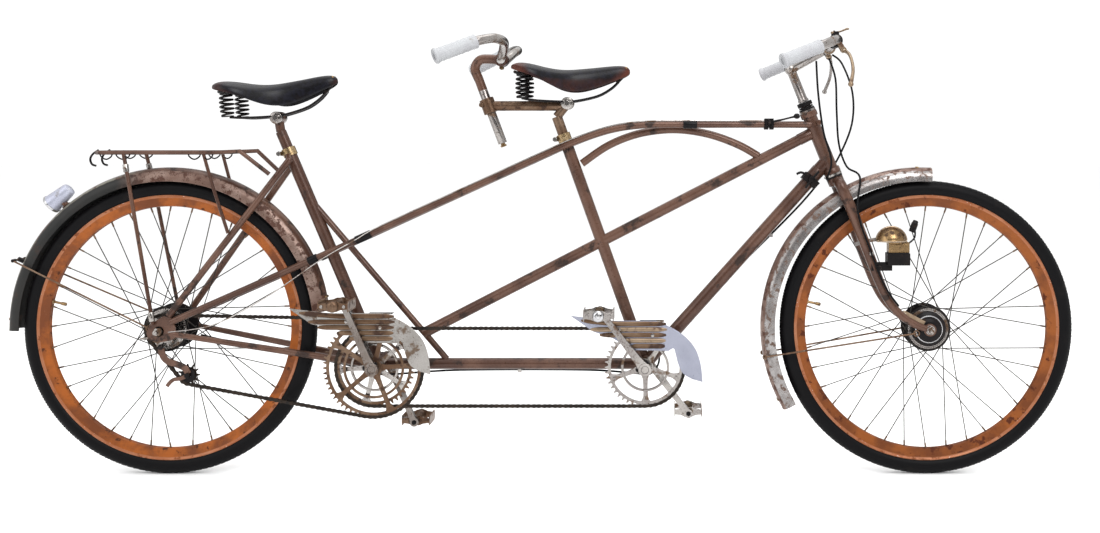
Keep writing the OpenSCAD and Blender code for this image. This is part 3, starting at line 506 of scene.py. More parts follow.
FIN_SILVER = Coat("fin_silver", base=(0.30, 0.285, 0.27), tone=(0.19, 0.175, 0.16),
    patch=(0.11, 0.075, 0.052), speck=(0.06, 0.035, 0.022), edge=(0.6, 0.58, 0.55),
    shares=(0.38, 0.35, 0.6), metals=(0.85, 0.5), roughs=(0.25, 0.48))
BEIGE = Coat("beige_metal", base=(0.27, 0.20, 0.135), tone=(0.20, 0.14, 0.09),
    patch=(0.085, 0.045, 0.026), speck=(0.05, 0.025, 0.015), edge=(0.55, 0.46, 0.36),
    shares=(0.38, 0.3, 0.6), scales=(45, 260), metals=(0.6, 0.25), roughs=(0.32, 0.55))
LAMP_WHITE = Coat("lamp_enamel", base=(0.42, 0.44, 0.52), tone=(0.32, 0.33, 0.40),
    patch=(0.20, 0.19, 0.20), speck=(0.08, 0.05, 0.04), edge=(0.6, 0.6, 0.62),
    shares=(0.25, 0.2, 0.6), metals=(0.3, 0.2), roughs=(0.28, 0.5))
TYRE = Rubber("tyre_rubber")
CABLE = Rubber("cable_cover", base=(0.004, 0.004, 0.0045), dusty=0.1, rough=0.4)
RED_LENS = Glass("red_lens", base=(0.26, 0.008, 0.006))


# ---------------------------------------------------------------- mesh kit

def mirrored(point: Point, side: float) -> Vector:
    """The point with its Y multiplied by the side's sign.

    Args:
        point: the point.
        side: the sign.
    Returns:
        The mirrored point.
    """
    return Vector((point[0], point[1] * side, point[2]))


def curve_through(points: Sequence[Point], steps: int) -> list[Vector]:
    """Smooth curve through points.

    Args:
        points: the points.
        steps: pieces to a span.
    Returns:
        Points along the curve.
    """
    p = [Vector(q) for q in points]
    out = []
    for i in range(len(p) - 1):
        a, b, c, d = p[max(i - 1, 0)], p[i], p[i + 1], p[min(i + 2, len(p) - 1)]
        for k in range(steps):
            t = k / steps
            bend = 2 * a - 5 * b + 4 * c - d + t * (3 * (b - c) + d - a)
            out.append(b + 0.5 * t * ((c - a) + t * bend))
    return out + [p[-1]]


def circle(count: int) -> list[float]:
    """Angles, evenly spaced round a circle. Args: count. Returns: radians."""
    return [2 * pi * k / count for k in range(count)]


def around(centre: Vector, radius: float, angle: float, y: float = 0.0) -> Vector:
    """Point on a circle that stands across Y.

    Args:
        centre: its centre.
        radius: its radius.
        angle: radians above +X.
        y: how far off the centre along Y.
    Returns:
        The point.
    """
    return centre + Vector((radius * cos(angle), y, radius * sin(angle)))


def across(direction: Vector) -> tuple[Vector, Vector]:
    """Two unit vectors at right angles to a direction. Args: direction. Returns: the pair."""
    guide = Y_AXIS if abs(direction.normalized().dot(Y_AXIS)) < 0.9 else Vector((1, 0, 0))
    first = direction.cross(guide).normalized()
    return first, direction.cross(first).normalized()


class Shape:
    """A mesh in millimetres, made up of swept tubes, turned profiles, plates and blocks."""

    def __init__(self) -> None:
        """Starts empty."""
        self.points: list[Vector] = []
        self.faces: list[tuple[int, ...]] = []

    def loft(self, rings: Sequence[Sequence[Vector]], closed: bool = True,
            caps: bool = True) -> "Shape":
        """Skin over rings of equal counts.

        Args:
            rings: the rings.
            closed: whether each ring closes on itself.
            caps: whether the ends are closed by faces.
        Returns:
            The shape itself.
        """
        start, n = len(self.points), len(rings[0])
        for ring in rings:
            self.points.extend(ring)
        for i in range(len(rings) - 1):
            for k in range(n if closed else n - 1):
                a, b = start + i * n + k, start + i * n + (k + 1) % n
                self.faces.append((a, b, b + n, a + n))
        if caps:
            self.faces.append(tuple(start + k for k in reversed(range(n))))
            self.faces.append(tuple(start + (len(rings) - 1) * n + k for k in range(n)))
        return self

    def tube(self, points: Sequence[Point], radius: Union[float, Sequence[float]], sides: int = 14,
            caps: bool = True) -> "Shape":
        """Round tube swept along points.

        Args:
            points: the path.
            radius: one radius, or one to a point.
            sides: sides of the tube.
            caps: whether its ends are closed.
        Returns:
            The shape itself.
        """
        path = [Vector(p) for p in points]
        radii = [radius] * len(path) if isinstance(radius, (int, float)) else list(radius)
        side: Optional[Vector] = None
        rings = []
        for i, p in enumerate(path):
            t = (path[min(i + 1, len(path) - 1)] - path[max(i - 1, 0)]).normalized()
            side = across(t)[0] if side is None else (side - t * side.dot(t)).normalized()
            other = t.cross(side)
            rings.append([p + radii[i] * (cos(a) * side + sin(a) * other) for a in circle(sides)])
        return self.loft(rings, caps=caps)

    def turned(self, base: Point, axis: Point, profile: Sequence[tuple[float, float]],
            steps: int = 40, closed: bool = False) -> "Shape":
        """Profile turned about an axis.

        Args:
            base: where the axis starts.
            axis: its direction.
            profile: pairs of place along the axis and radius.
            steps: pieces round the axis.
            closed: whether the profile is a closed section.
        Returns:
            The shape itself.
        """
        origin, direction = Vector(base), Vector(axis).normalized()
        first, second = across(direction)
        rings = []
        for a in circle(steps):
            out = cos(a) * first + sin(a) * second
            rings.append([origin + direction * h + out * r for h, r in profile])
        return self.loft(rings + rings[:1], closed=closed, caps=False)

    def washer(self, base: Point, axis: Point, inner: float, outer: float, height: float,
            steps: int) -> "Shape":
        """Flat ring of a square section.

        Args:
            base: centre of its lower face.
            axis: direction of its height.
            inner: radius of the hole.
            outer: radius of the ring.
            height: height.
            steps: sides round it.
        Returns:
            The shape.
        """
        profile = [(0, inner), (0, outer), (height, outer), (height, inner)]
        return self.turned(base, axis, profile, steps, closed=True)

    def rod(self, a: Point, b: Point, radius: float, round_by: float = 0.0,
            sides: int = 24) -> "Shape":
        """Round bar with eased ends.

        Args:
            a: one end.
            b: the other end.
            radius: its radius.
            round_by: how far the ends are eased.
            sides: sides.
        Returns:
            The shape itself.
        """
        start, end = Vector(a), Vector(b)
        length = (end - start).length
        profile = [(0, radius)]
        if round_by:
            profile = [(0, radius - round_by), (0.3 * round_by, radius - 0.3 * round_by),
                (round_by, radius)]
        profile += [(length - h, r) for h, r in reversed(profile)]
        return self.turned(start, end - start, [(0, 0.01)] + profile + [(length, 0.01)], sides)

    def ball(self, centre: Point, radius: float, steps: int = 20,
            squeeze: Point = (1, 1, 1)) -> "Shape":
        """Ball, squeezed along the axes.

        Args:
            centre: centre.
            radius: radius.
            steps: sides round it.
            squeeze: factors along X, Y and Z.
        Returns:
            The shape.
        """
        rings = []
        for i in range(1, steps // 2):
            a = pi * i / (steps // 2)
            rings.append([Vector(centre) + Vector((radius * sin(a) * cos(b) * squeeze[0],
                radius * sin(a) * sin(b) * squeeze[1], -radius * cos(a) * squeeze[2]))
                for b in circle(steps)])
        return self.loft(rings)

    def slab(self, outline: Sequence[Point], y: float, thick: float) -> "Shape":
        """Plate in the XZ plane.

        Args:
            outline: its outline as X and Z pairs.
            y: its middle.
            thick: its thickness.
        Returns:
            The shape itself.
        """
        return self.loft([[Vector((p[0], y + side * thick / 2, p[1])) for p in outline]
            for side in SIDES])

    def bar(self, points: Sequence[Point], y: float, width: float, thick: float) -> "Shape":
        """Flat strip along XZ points.

        Args:
            points: the points.
            y: middle of its thickness.
            width: width in the plane.
            thick: thickness along Y.
        Returns:
            The shape.
        """
        path = [Vector((p[0], y, p[1])) for p in points]
        rings = []
        for i, p in enumerate(path):
            t = (path[min(i + 1, len(path) - 1)] - path[max(i - 1, 0)]).normalized()
            side = t.cross(Y_AXIS)
            rings.append([p + side * (sx * width / 2) + Y_AXIS * (sy * thick / 2) for sx,
                sy in CORNERS])
        return self.loft(rings)

    def block(self, centre: Point, size: Point, turn: Optional[Matrix] = None) -> "Shape":
        """Block with its own turn. Args: centre, size, turn. Returns: the shape."""
        half = Vector(size) / 2
        spin = turn or Matrix.Identity(3)
        rings = [[Vector(centre) + spin @ Vector((sx * half.x, sy * half.y, sz * half.z)) for sx,
            sy in CORNERS] for sz in SIDES]
        return self.loft(rings)

    def hexagon(self, base: Point, axis: Point, radius: float, height: float) -> "Shape":
        """Hexagonal nut or bolt head with a crowned top.

        Args:
            base: centre of its lower face.
            axis: direction of its height.
            radius: radius to the corners.
            height: height.
        Returns:
            The shape.
        """
        profile = [(0, 0.01), (0, radius), (height * 0.8, radius), (height, radius * 0.85),
            (height, 0.01)]
        return self.turned(base, axis, profile, 6)

    def coil(self, base: Point, axis: Point, profile: Callable[[float], float], height: float,
            turns: float, wire: float, sides: int = 7) -> "Shape":
        """Spring wire.

        Args:
            base: middle of its foot.
            axis: its direction.
            profile: radius at a share of its height.
            height: its height.
            turns: its turns.
            wire: the wire's radius.
            sides: the wire's sides.
        Returns:
            The shape itself.
        """
        direction = Vector(axis).normalized()
        first, second = across(direction)
        count = int(turns * 20)
        path = []
        for k in range(count + 1):
            t = k / count
            a = 2 * pi * turns * t
            path.append(Vector(base) + direction * (height * t) + (cos(a) * first + sin(a) * second)
                * profile(t))
        return self.tube(path, wire, sides)

    def moved(self, change: Callable[[Vector], Vector]) -> "Shape":
        """Moves every point by a function. Args: change. Returns: the shape."""
        self.points = [change(p) for p in self.points]
        return self

    def both_sides(self) -> "Shape":
        """Adds the shape's mirror image across the middle plane. Returns: the shape."""
        start = len(self.points)
        self.points.extend(mirrored(p, -1) for p in list(self.points))
        self.faces.extend(tuple(start + k for k in reversed(face)) for face in list(self.faces))
        return self

    def piece(self, name: str, finish: "Finish", body: str, replaces: Sequence[str] = (),
            slot: str = "", bevel: float = 0.0, smooth: float = 38.0,
            subdivide: int = 0) -> bpy.types.Object:
        """Makes the scene object, in metres, riding on its body.

        Args:
            name: the piece's name.
            finish: its finish.
            body: the body that it moves with.
            replaces: CAD nodes that it stands for.
            slot: material slot of the record; not used.
            bevel: width of its eased edges, in millimetres.
            smooth: edges sharper than this angle stay sharp.
            subdivide: levels of subdivision.
        Returns:
            The object.
        """
        mesh = bpy.data.meshes.new(name)
        mesh.from_pydata([p * MM for p in self.points], [], self.faces)
        tidy = bmesh.new()
        tidy.from_mesh(mesh)
        bmesh.ops.remove_doubles(tidy, verts=tidy.verts, dist=WELD)
        bmesh.ops.recalc_face_normals(tidy, faces=tidy.faces)
        tidy.to_mesh(mesh)
        tidy.free()
        mesh.shade_smooth()
        made = bpy.data.objects.new(name, mesh)
        bpy.context.scene.collection.objects.link(made)
        if subdivide:
            made.modifiers.new("Rounding", "SUBSURF").levels = subdivide
            made.modifiers["Rounding"].render_levels = subdivide
        else:
            mesh.set_sharp_from_angle(angle=radians(smooth))
        if bevel:
            eased = made.modifiers.new("Edges", "BEVEL")
            eased.width, eased.segments, eased.limit_method = bevel * MM, 2, "ANGLE"
            eased.angle_limit, eased.harden_normals = BEVEL_ANGLE, False
        mesh.materials.append(material_of(finish))
        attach(made, body)
        if replaces:
            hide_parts(*replaces)
        LOG.info("made %s on %s", name, body)
        return made


Finish = Union[Coat, Ringed, Leather, Rubber, Glass]
_MATERIALS: dict[str, bpy.types.Material] = {}


def material_of(finish: Finish) -> bpy.types.Material:
    """The material of a finish, made once. Args: finish. Returns: the material."""
    if finish.name not in _MATERIALS:
        _MATERIALS[finish.name] = finish.material()
    return _MATERIALS[finish.name]


def dress(nodes: Iterable[str], finish: Finish) -> None:
    """Gives carried-over CAD nodes a finish. Args: nodes: their names. finish: the finish."""
    for name in nodes:
        mesh = frame["nodes"][name].data
        mesh.materials.clear()
        mesh.materials.append(material_of(finish))
        LOG.info("dressed %s", name)


# ---------------------------------------------------------------- layout

def joint_place(name: str) -> Vector:
    """Place of a joint, in millimetres. Args: name. Returns: the place."""
    return Vector(next(j["pos_m"] for j in frame["record"]["behaviour"]["joints"]
        if j["name"] == name)) / MM


@dataclass
class Layout:
    """Places of the axles, read from the frame's joints and nodes, in millimetres."""

    front_hub: Vector = field(default_factory=lambda: joint_place("front_wheel_spin"))
    rear_hub: Vector = field(default_factory=lambda: joint_place("rear_wheel_spin"))
    captain_axle: Vector = field(default_factory=lambda: joint_place("captain_crank_turn"))
    stoker_axle: Vector = field(default_factory=lambda: joint_place("stoker_crank_turn"))
    pulley: Vector = field(default_factory=lambda: joint_place("pulley_spin"))
    head: Vector = field(default_factory=lambda: joint_place("steering_turn"))
    lever: Vector = field(default_factory=lambda: joint_place("brake_lever_right_pull"))
    thumb: Vector = field(default_factory=lambda: joint_place("thumb_lever_turn"))
    gear: Vector = field(default_factory=lambda: joint_place("gear_lever_turn"))
    captain_seat_top: Vector = field(default_factory=lambda: Vector((52.6, 0, 825)))
    stoker_seat_top: Vector = field(default_factory=lambda: Vector((-617, 0, 790)))
    timing_y: float = -48.0
    drive_y: float = -57.5
    pitch: float = 12.7
    tyre_r: float = 355.5

    @property
    def head_dir(self) -> Vector:
        """Direction of the steering axis, upwards. Returns: the direction."""
        joint = next(j for j in frame["record"]["behaviour"]["joints"]
            if j["name"] == "steering_turn")
        return Vector(joint["axis"]).normalized()

    def ring_radius(self, teeth: int) -> float:
        """Pitch radius of a toothed wheel. Args: teeth. Returns: its radius."""
        return self.pitch / (2 * sin(pi / teeth))


# ---------------------------------------------------------------- wheels

@dataclass
class Wheel:
    """A wheel: tyre with ribbed tread, rim, laced spokes with nipples, valve and drum hub."""

    name: str
    body: str
    hub: Vector
    flange_y: float
    paint: Coat
    spokes: int = 36
    tyre_r: float = 355.5
    tyre_w: float = 40.0
    rim_inner: float = 293.0
    rim_w: float = 28.0
    flange_r: float = 50.0
    drum_r: float = 46.0
    flange_balls: int = 54
    treads: int = 150
    tread_rows: tuple = ((-0.62, 2.6), (-0.30, 3.2), (0.0, 3.4), (0.30, 3.2), (0.62, 2.6))

    def ring(self, profile: Sequence[tuple[float, float]], steps: int = 144) -> Shape:
        """Closed section turned round the axle. Args: profile, steps. Returns: the shape."""
        return Shape().turned(self.hub, Y_AXIS, profile, steps, closed=True)

    def tyre(self) -> None:
        """Round casing, shoulder ribs and a block tread."""
        r = self.tyre_w / 2 - 0.8
        mid = self.tyre_r - self.tyre_w / 2
        section = []
        for k in range(30):
            a = radians(-142 + 284 * k / 29)
            rib = 0.55 if k % 2 and 60 < abs(degrees(a)) < 96 else 0.0
            section.append((r * 0.99 * sin(a), mid + (r + rib) * cos(a)))
        section.append((11.0, self.tyre_r - self.tyre_w + 6))
        section.append((-11.0, self.tyre_r - self.tyre_w + 6))
        shape = self.ring(section)
        for turn in circle(self.treads):
            for row, (side, length) in enumerate(self.tread_rows):
                self.tread_block(shape, turn + radians(1.2 if row % 2 else 0), side, length, mid, r)
        shape.piece(self.name + "_tyre_rubber", TYRE, self.body, [self.name + "_tyre"], "tyre")

    def tread_block(self, shape: Shape, turn: float, side: float, half: float, mid: float,
            r: float) -> None:
        """One tread block.

        Args:
            shape: the shape that it joins.
            turn: its angle round the wheel.
            side: its place across the tread, as an angle.
            half: its half length.
            mid: radius of the casing's centre line.
            r: the casing's radius.
        """
        rings = []
        for height, grow in ((r - 0.6, 1.0), (r + 0.8, 0.8)):
            turns = [(side + w * 0.11 * grow, turn + s * half * grow / self.tyre_r) for s,
                w in CORNERS]
            rings.append([around(self.hub, mid + height * cos(a), spread, height * sin(a))
                for a, spread in turns])
        shape.loft(rings)

    def rim(self) -> None:
        """Crowned steel rim with rolled edges, nipple wells and a valve."""
        half, outer = self.rim_w / 2, self.tyre_r - 33.5
        profile = [(-half + 1.4, outer), (-half - 0.1, outer - 1.0), (-half - 0.3, outer - 3),
            (-half + 1.2, outer - 5), (-half + 1.8, outer - 15), (-8.5, self.rim_inner + 1.6),
            (-4.5, self.rim_inner + 0.2), (-3.0, self.rim_inner + 1.4), (3.0, self.rim_inner + 1.4),
            (4.5, self.rim_inner + 0.2), (8.5, self.rim_inner + 1.6), (half - 1.8, outer - 15),
            (half - 1.2, outer - 5), (half + 0.3, outer - 3), (half + 0.1, outer - 1.0),
            (half - 1.4, outer)]
        centre = self.hub * MM
        finish = Ringed(self.name + "_rim_paint", self.paint, RIM_LINE, centre, (outer - 7) * MM,
            (outer + 3) * MM, soft=0.0012, ragged=0.0012)
        self.ring(profile).piece(self.name + "_rim_shell", finish, self.body, [self.name + "_rim"],
            "rim_paint")
        stem = self.hub + Vector((0, 0, self.rim_inner + 2))
        valve = Shape().rod(stem, stem - Vector((0, 0, 26)), 3.0, 0.6, 16)
        valve.rod(stem - Vector((0, 0, 22)), stem - Vector((0, 0, 34)), 4.2, 1.0, 16)
        valve.hexagon(stem - Vector((0, 0, 1)), (0, 0, -1), 6.0, 3)
        valve.moved(self.turner(-78.0))
        valve.piece(self.name + "_valve", BRASS, self.body)

    def turner(self, angle: float) -> Callable[[Vector], Vector]:
        """Turns points round the axle. Args: angle in degrees. Returns: the function."""
        spin = Matrix.Rotation(radians(angle), 3, Y_AXIS)
        return lambda p: self.hub + spin @ (p - self.hub)

    def laced_spokes(self) -> None:
        """Crossed spokes, with elbows at the flanges and nipples at the rim."""
        wires, nipples = Shape(), Shape()
        for k, a in enumerate(circle(self.spokes)):
            side = 1 if k % 2 == 0 else -1
            lead = radians(62 if k % 4 < 2 else -62)
            eye = around(self.hub, self.flange_r, a + lead, side * (self.flange_y + 2.4))
            end = around(self.hub, self.rim_inner, a, side * 3)
            reach = (end - eye).normalized()
            wires.tube([eye - Y_AXIS * side * 5, eye - Y_AXIS * side * 0.6, eye + reach * 3, end],
                1.25, 8)
            wires.ball(eye - Y_AXIS * side * 5, 2.0, 8)
            nipples.tube([end - reach * 12, end - reach * 11.4, end + reach * 2], [1.4, 2.1, 2.1],
                10)
        wires.piece(self.name + "_spoke_wires", SPOKE, self.body, [self.name + "_spokes"],
            "spoke_steel")
        nipples.piece(self.name + "_nipples", RUSTED, self.body)

    def drum(self) -> None:
        """Drum hub: black shell with its flanges and brake drum, and a plated flange ring beaded
        with balls.
        """
        y = self.flange_y
        shell = [(-y - 2, 26), (-y - 2, self.flange_r + 3.5), (-y - 0.5, self.flange_r + 5),
            (-y + 1.5, self.flange_r + 4), (-y + 2.5, self.drum_r), (-12, self.drum_r),
            (-10, self.drum_r - 2), (-8, 26), (2, 22), (y - 8, 22), (y - 2.5, 28),
            (y - 1.5, self.flange_r + 4), (y + 0.5, self.flange_r + 5),
            (y + 2, self.flange_r + 3.5), (y + 2, 24), (y + 1, 14), (-y - 1, 14)]
        self.ring(shell, 72).piece(self.name + "_hub_shell", BLACK, self.body, [self.name + "_hub"],
            "black_paint")
        flange = [(-y - 2.6, 30), (-y - 2.6, 45), (-y - 3.4, 46), (-y - 3.4, 48.5),
            (-y - 2.0, 49.5), (-y - 1.8, 30)]
        ring = self.ring(flange, 72)
        for a in circle(self.flange_balls):
            ring.ball(around(self.hub, 47.4, a, -y - 3.4), 1.5, 8)
        ring.piece(self.name + "_flange_ring", PLATING, self.body)

    def build(self) -> None:
        """Builds the whole wheel."""
        self.tyre()
        self.rim()
        self.laced_spokes()
        self.drum()


# ---------------------------------------------------------------- mudguards

@dataclass
class Mudguard:
    """A rolled mudguard with its stays, rivets and bridge."""

    name: str
    body: str
    centre: Vector
    start: int
    end: int
    stay_end: Vector
    stay_foot: Vector
    crown: Coat
    side: Coat
    slot: str
    looped: bool = False
    outer: float = 388.0
    half: float = 29.0
    depth: float = 33.0
    sheet: float = 1.5

    def section(self) -> list[tuple[float, float]]:
        """Closed section: outer arch, rolled edge, inner arch. Returns: its points."""
        arch = []
        for k in range(25):
            a = pi * k / 24
            arch.append((-self.half * cos(a), self.outer - self.depth + self.depth * sin(a) ** 0.7))
        roll = [(self.half - 2.6, self.outer - self.depth - 0.6),
            (self.half - 3.4, self.outer - self.depth + 1.2)]
        inner = [(y * (self.half - self.sheet) / self.half, r - self.sheet)
            for y, r in reversed(arch[2:-2])]
        return arch + roll + inner + [(-y, r) for y, r in reversed(roll)]

    def build(self) -> None:
        """Builds the blade and its fittings."""
        steps = self.end - self.start
        profile, rings = self.section(), []
        for k in range(steps + 1):
            lip = 0.6 if k in (0, steps) else 0.0
            rings.append([around(self.centre, r + lip, radians(self.start + k), y)
                for y, r in profile])
        # On the looped rear guard, the tail coat paints shade on the flank behind tail_x.
        finish = Ringed(self.name + "_paint", self.crown, self.side, self.centre * MM,
            (self.outer - self.depth - 6) * MM, (self.outer - 9) * MM, soft=0.002, ragged=0.004,
            tail=TAIL_PAINTED_SHADE if self.looped else None)
        Shape().loft(rings).piece(self.name + "_blade", finish, self.body, [self.name], self.slot)
        stays = Shape()
        for side in SIDES:
            foot, tip = mirrored(self.stay_foot, side), mirrored(self.stay_end, side)
            bend = foot.lerp(tip, 0.82)
            stays.tube(curve_through([foot, foot.lerp(tip, 0.4), bend, tip], 4), 2.2, 10)
            stays.washer(foot - Y_AXIS * 1.5, Y_AXIS, 5.2, 8, 3, 20)
            if not self.looped:
                stays.washer(tip - Y_AXIS * 2.0, Y_AXIS, 2.6, 5.6, 4, 20)
                stays.rod(tip + Y_AXIS * side * 2.8, tip - Y_AXIS * side * 19, 2.3, 0.4, 12)
                stays.hexagon(tip + Y_AXIS * side * 2.0, (0, side, 0), 4.2, 2.4)
        if self.looped:
            self.loop(stays)
        stays.piece(self.name + "_stays", RUSTED, self.body)
        self.rivets()

    def loop(self, stays: Shape) -> None:
        """The wire over the crown and its black clip. Args: stays: where the wire is added."""
        a, b = mirrored(self.stay_end, 1), mirrored(self.stay_end, -1)
        middle = (a + b) / 2
        out = (middle - self.centre).normalized()
        stays.tube(curve_through([a, a.lerp(b, 0.12) + out * 1.2, middle + out * 1.4,
            a.lerp(b, 0.88) + out * 1.2, b], 5), 2.3, 10)
        at = self.centre + out * (self.outer - 0.5)
        clip = Shape().rod(at, middle + out * 4.5, 5.6, 0.8, 20)
        clip.rod(middle - Y_AXIS * 34, middle - Y_AXIS * 20, 4.2, 0.8, 16)
        clip.rod(middle + Y_AXIS * 20, middle + Y_AXIS * 34, 4.2, 0.8, 16)
        clip.piece(self.name + "_clip", BLACK, self.body, bevel=0.3)

    def rivets(self) -> None:
        """Two rivets through the crown at each end."""
        shape = Shape()
        for angle in (self.start + 5, self.end - 4):
            for y in (-8, 8):
                shape.ball(around(self.centre, self.outer - 0.9, radians(angle), y), 3.2, 12)
        shape.piece(self.name + "_rivets", BRASS, self.body)


# ---------------------------------------------------------------- frame

@dataclass
class FrameTubes:
    """The frame's own tubes: smooth lateral and arch tubes, and the CAD tubes with their paint."""

    layout: Layout
    lateral_r: float = 8.0
    arch_r: float = 9.5
    lateral: tuple = ((-874, -72, 377), (-420, -45, 578), (40, -24, 788), (115, -24, 818),
        (175, -24, 836), (235, -24, 845), (310, -23, 847.5), (655, -16, 847.5))
    arch: tuple = ((99, 0, 753), (160, 0, 795), (225, 0, 822), (290, 0, 834), (350, 0, 834),
        (415, 0, 822), (480, 0, 798), (528, 0, 771))

    def build(self) -> None:
        """Builds the bent tubes, lugs and bolts, and dresses the straight tubes."""
        straight, bend = self.lateral[:3], self.lateral[2:]
        path = [Vector(p) for p in straight[:2]] + curve_through(bend, 5)
        tubes = Shape().tube(path, self.lateral_r, 20).both_sides()
        tubes.piece("twin_lateral_tubes", FRAME_PAINT, "frame", ["lateral_tubes"], "frame_paint")
        arch = Shape().tube(curve_through(self.arch, 6), self.arch_r, 20)
        arch.piece("arch_tube_bent", FRAME_PAINT, "frame", ["arch_tube"], "frame_paint")
        dress(["head_tube", "down_tube", "diagonal_tubes", "bottom_tube", "captain_seat_tube",
            "stoker_seat_tube", "rear_stays", "bottom_brackets", "luggage_rack",
            "stoker_seat_post"], FRAME_PAINT)
        dress(["headset_cups", "rear_axle", "sprocket", "captain_ring"], PLATING)
        dress(["stoker_rings", "captain_seat_post"], RUSTED)
        dress(["seat_collars"], BRASS)
        dress(["tension_pulley"], CHAIN_STEEL)
        self.bracket_cups()
        self.lugs()
        self.bolts()

    def bracket_cups(self) -> None:
        """Threaded cups and lock rings at both bottom brackets."""
        shape = Shape()
        for axle in (self.layout.captain_axle, self.layout.stoker_axle):
            for side in SIDES:
                base = axle + Y_AXIS * side * 35.2
                shape.turned(base, Y_AXIS * side, [(0, 9.2), (0, 21), (1.2, 22), (3.0, 22),
                    (4.2, 20.5), (4.2, 17), (5.6, 15.5), (5.6, 9.2)], 36, closed=True)
                for a in circle(6):
                    shape.ball(around(base, 18.8, a, side * 4.4), 1.3, 8)
        shape.piece("bracket_cups", RUSTED, "frame")

    def lugs(self) -> None:
        """Raised lug edges where the tubes enter the head, and bands round the joints."""
        head, up = self.layout.head, self.layout.head_dir
        shape = Shape()
        for at, end in ((-78, 1), (84, -1)):
            base = head + up * at
            shape.turned(base, up * end, [(0.4, 19.9), (1.4, 21), (12, 21), (13.6, 19.9)], 40)
        tip = Vector((664, 0, 829.3))
        main = (tip - Vector((-286, 0, 340))).normalized()
        shape.rod(tip - main * 8, tip - main * 42, 14.2, 1.0, 28)
        shape.rod(Vector((676, 0, 738)), Vector((654, 0, 713)), 17.3, 1.0, 28)
        shape.rod(head + Vector((-6, -18.0, 52)), head + Vector((-6, -20.5, 52)), 6.5, 0.8, 20)
        shape.piece("head_lugs", FRAME_PAINT, "frame", bevel=0.4)

    def bolts(self) -> None:
        """Pinch bolts of the seat collars, axle nuts' washers and chain adjusters."""
        shape = Shape()
        for top in (self.layout.captain_seat_top, self.layout.stoker_seat_top):
            at = top + Vector((-18.5, 0, -13.4))
            for side in SIDES:
                shape.hexagon(at + Y_AXIS * side * 12.6, (0, side, 0), 6.2, 4.5)
            shape.rod(at + Y_AXIS * 16, at + Y_AXIS * 20, 2.6, 0.5, 12)
        hub = self.layout.rear_hub
        for side in SIDES:
            base = hub + Y_AXIS * side * 72.4
            shape.washer(base, Y_AXIS * side, 5.2, 12.5, 1.6, 28)
            shape.ball(hub + Y_AXIS * side * 96.6, 4.7, 14, (1, 0.5, 1))
            adjuster = hub + Vector((-20, side * 68, -16))
            shape.rod(adjuster, adjuster + Vector((-26, 0, -2)), 2.5, 0.4, 12)
            shape.hexagon(adjuster + Vector((-14, 0, -1)), (-1, 0, -0.08), 5.2, 4)
        shape.piece("frame_bolts", PLATING, "frame", bevel=0.3)


@dataclass
class Carrier:
    """Fittings of the luggage rack, and the lamp behind it."""

    layout: Layout
    deck_z: float = 780.0
    half: float = 62.0
    guard_r: float = 388.0
    lamp_turn: float = 130.6

    def build(self) -> None:
        """Wire loops under the rack, clamps on its legs, and the lamp."""
        loops = Shape()
        for x, width in ((-1030, 26), (-990, 30), (-820, 26), (-788, 22)):
            for side in SIDES:
                y = side * (self.half + 2)
                drop = [(x + dx * width / 2, y, self.deck_z + dz)
                    for dx, dz in ((-1, 4), (-1, -8), (0, -16), (1, -8), (1, 4))]
                loops.tube(curve_through(drop, 4), 1.8, 8)
        hook = curve_through([(-1064, -30, 786), (-1078, -30, 776), (-1084, -30, 764),
            (-1080, -30, 752), (-1070, -30, 748)], 5)
        loops.tube(hook, 2.6, 10).tube([mirrored(p, -1) for p in hook], 2.6, 10)
        loops.piece("rack_loops", BLACK, "frame")
        clamps = Shape()
        for side in SIDES:
            for at, toward in (((-984, side * 63.5, 752), (-981, side * 66, 734)),
                    ((-918, side * 78, 402), (-914, side * 79, 380))):
                clamps.rod(at, toward, 6.6, 0.8, 20)
                middle = Vector(at).lerp(Vector(toward), 0.5)
                clamps.rod(middle + Y_AXIS * side * 5, middle + Y_AXIS * side * 11, 3.2, 0.6, 12)
        clamps.piece("rack_clamps", PLATING, "frame", bevel=0.3)
        self.lamp()

    def lamp(self) -> None:
        """Tapered lamp body, bright bezel and domed red lens, on a bracket."""
        out = around(ORIGIN, 1, radians(self.lamp_turn))
        axis = Vector((-out.z, 0, out.x))
        centre = self.layout.rear_hub + Vector((-2, 0, 0))
        middle = centre + out * (self.guard_r + 26.5)
        base = middle - axis * 34
        body = Shape().turned(base, axis, [(0.6, 0.01), (0.6, 11), (2.5, 15), (8, 17), (22, 18.6),
            (24, 19.4), (26, 19.0), (54, 22.4), (56, 23.2), (57.5, 23.2)], 48)
        body.piece("rear_lamp_body", LAMP_WHITE, "frame", ["rear_lamp"], "plating")
        Shape().turned(base, axis, [(56.5, 22.6), (57, 24.4), (60, 24.8), (62.4, 24.0), (63, 21.5),
            (60.5, 20.5)], 48, closed=True).piece("rear_lamp_bezel", BRIGHT, "frame")
        lens = [(61.5, 21.6), (63.2, 20.8), (65.5, 17.6), (67.2, 12), (67.8, 5), (67.9, 0.01)]
        Shape().turned(base, axis, lens, 48).piece("rear_lamp_lens", RED_LENS, "frame")
        bracket = Shape().rod(centre + out * (self.guard_r + 0.3), middle - out * 14, 6.5, 0.8, 20)
        bracket.rod(centre + out * (self.guard_r + 0.2), centre + out * (self.guard_r + 2.2), 11,
            0.6, 24)
        bracket.rod(middle - out * 20 - Y_AXIS * 10, middle - out * 20 + Y_AXIS * 10, 4.0, 0.8, 16)
        bracket.piece("rear_lamp_bracket", FRAME_PAINT, "frame", bevel=0.6)


# ---------------------------------------------------------------- drive

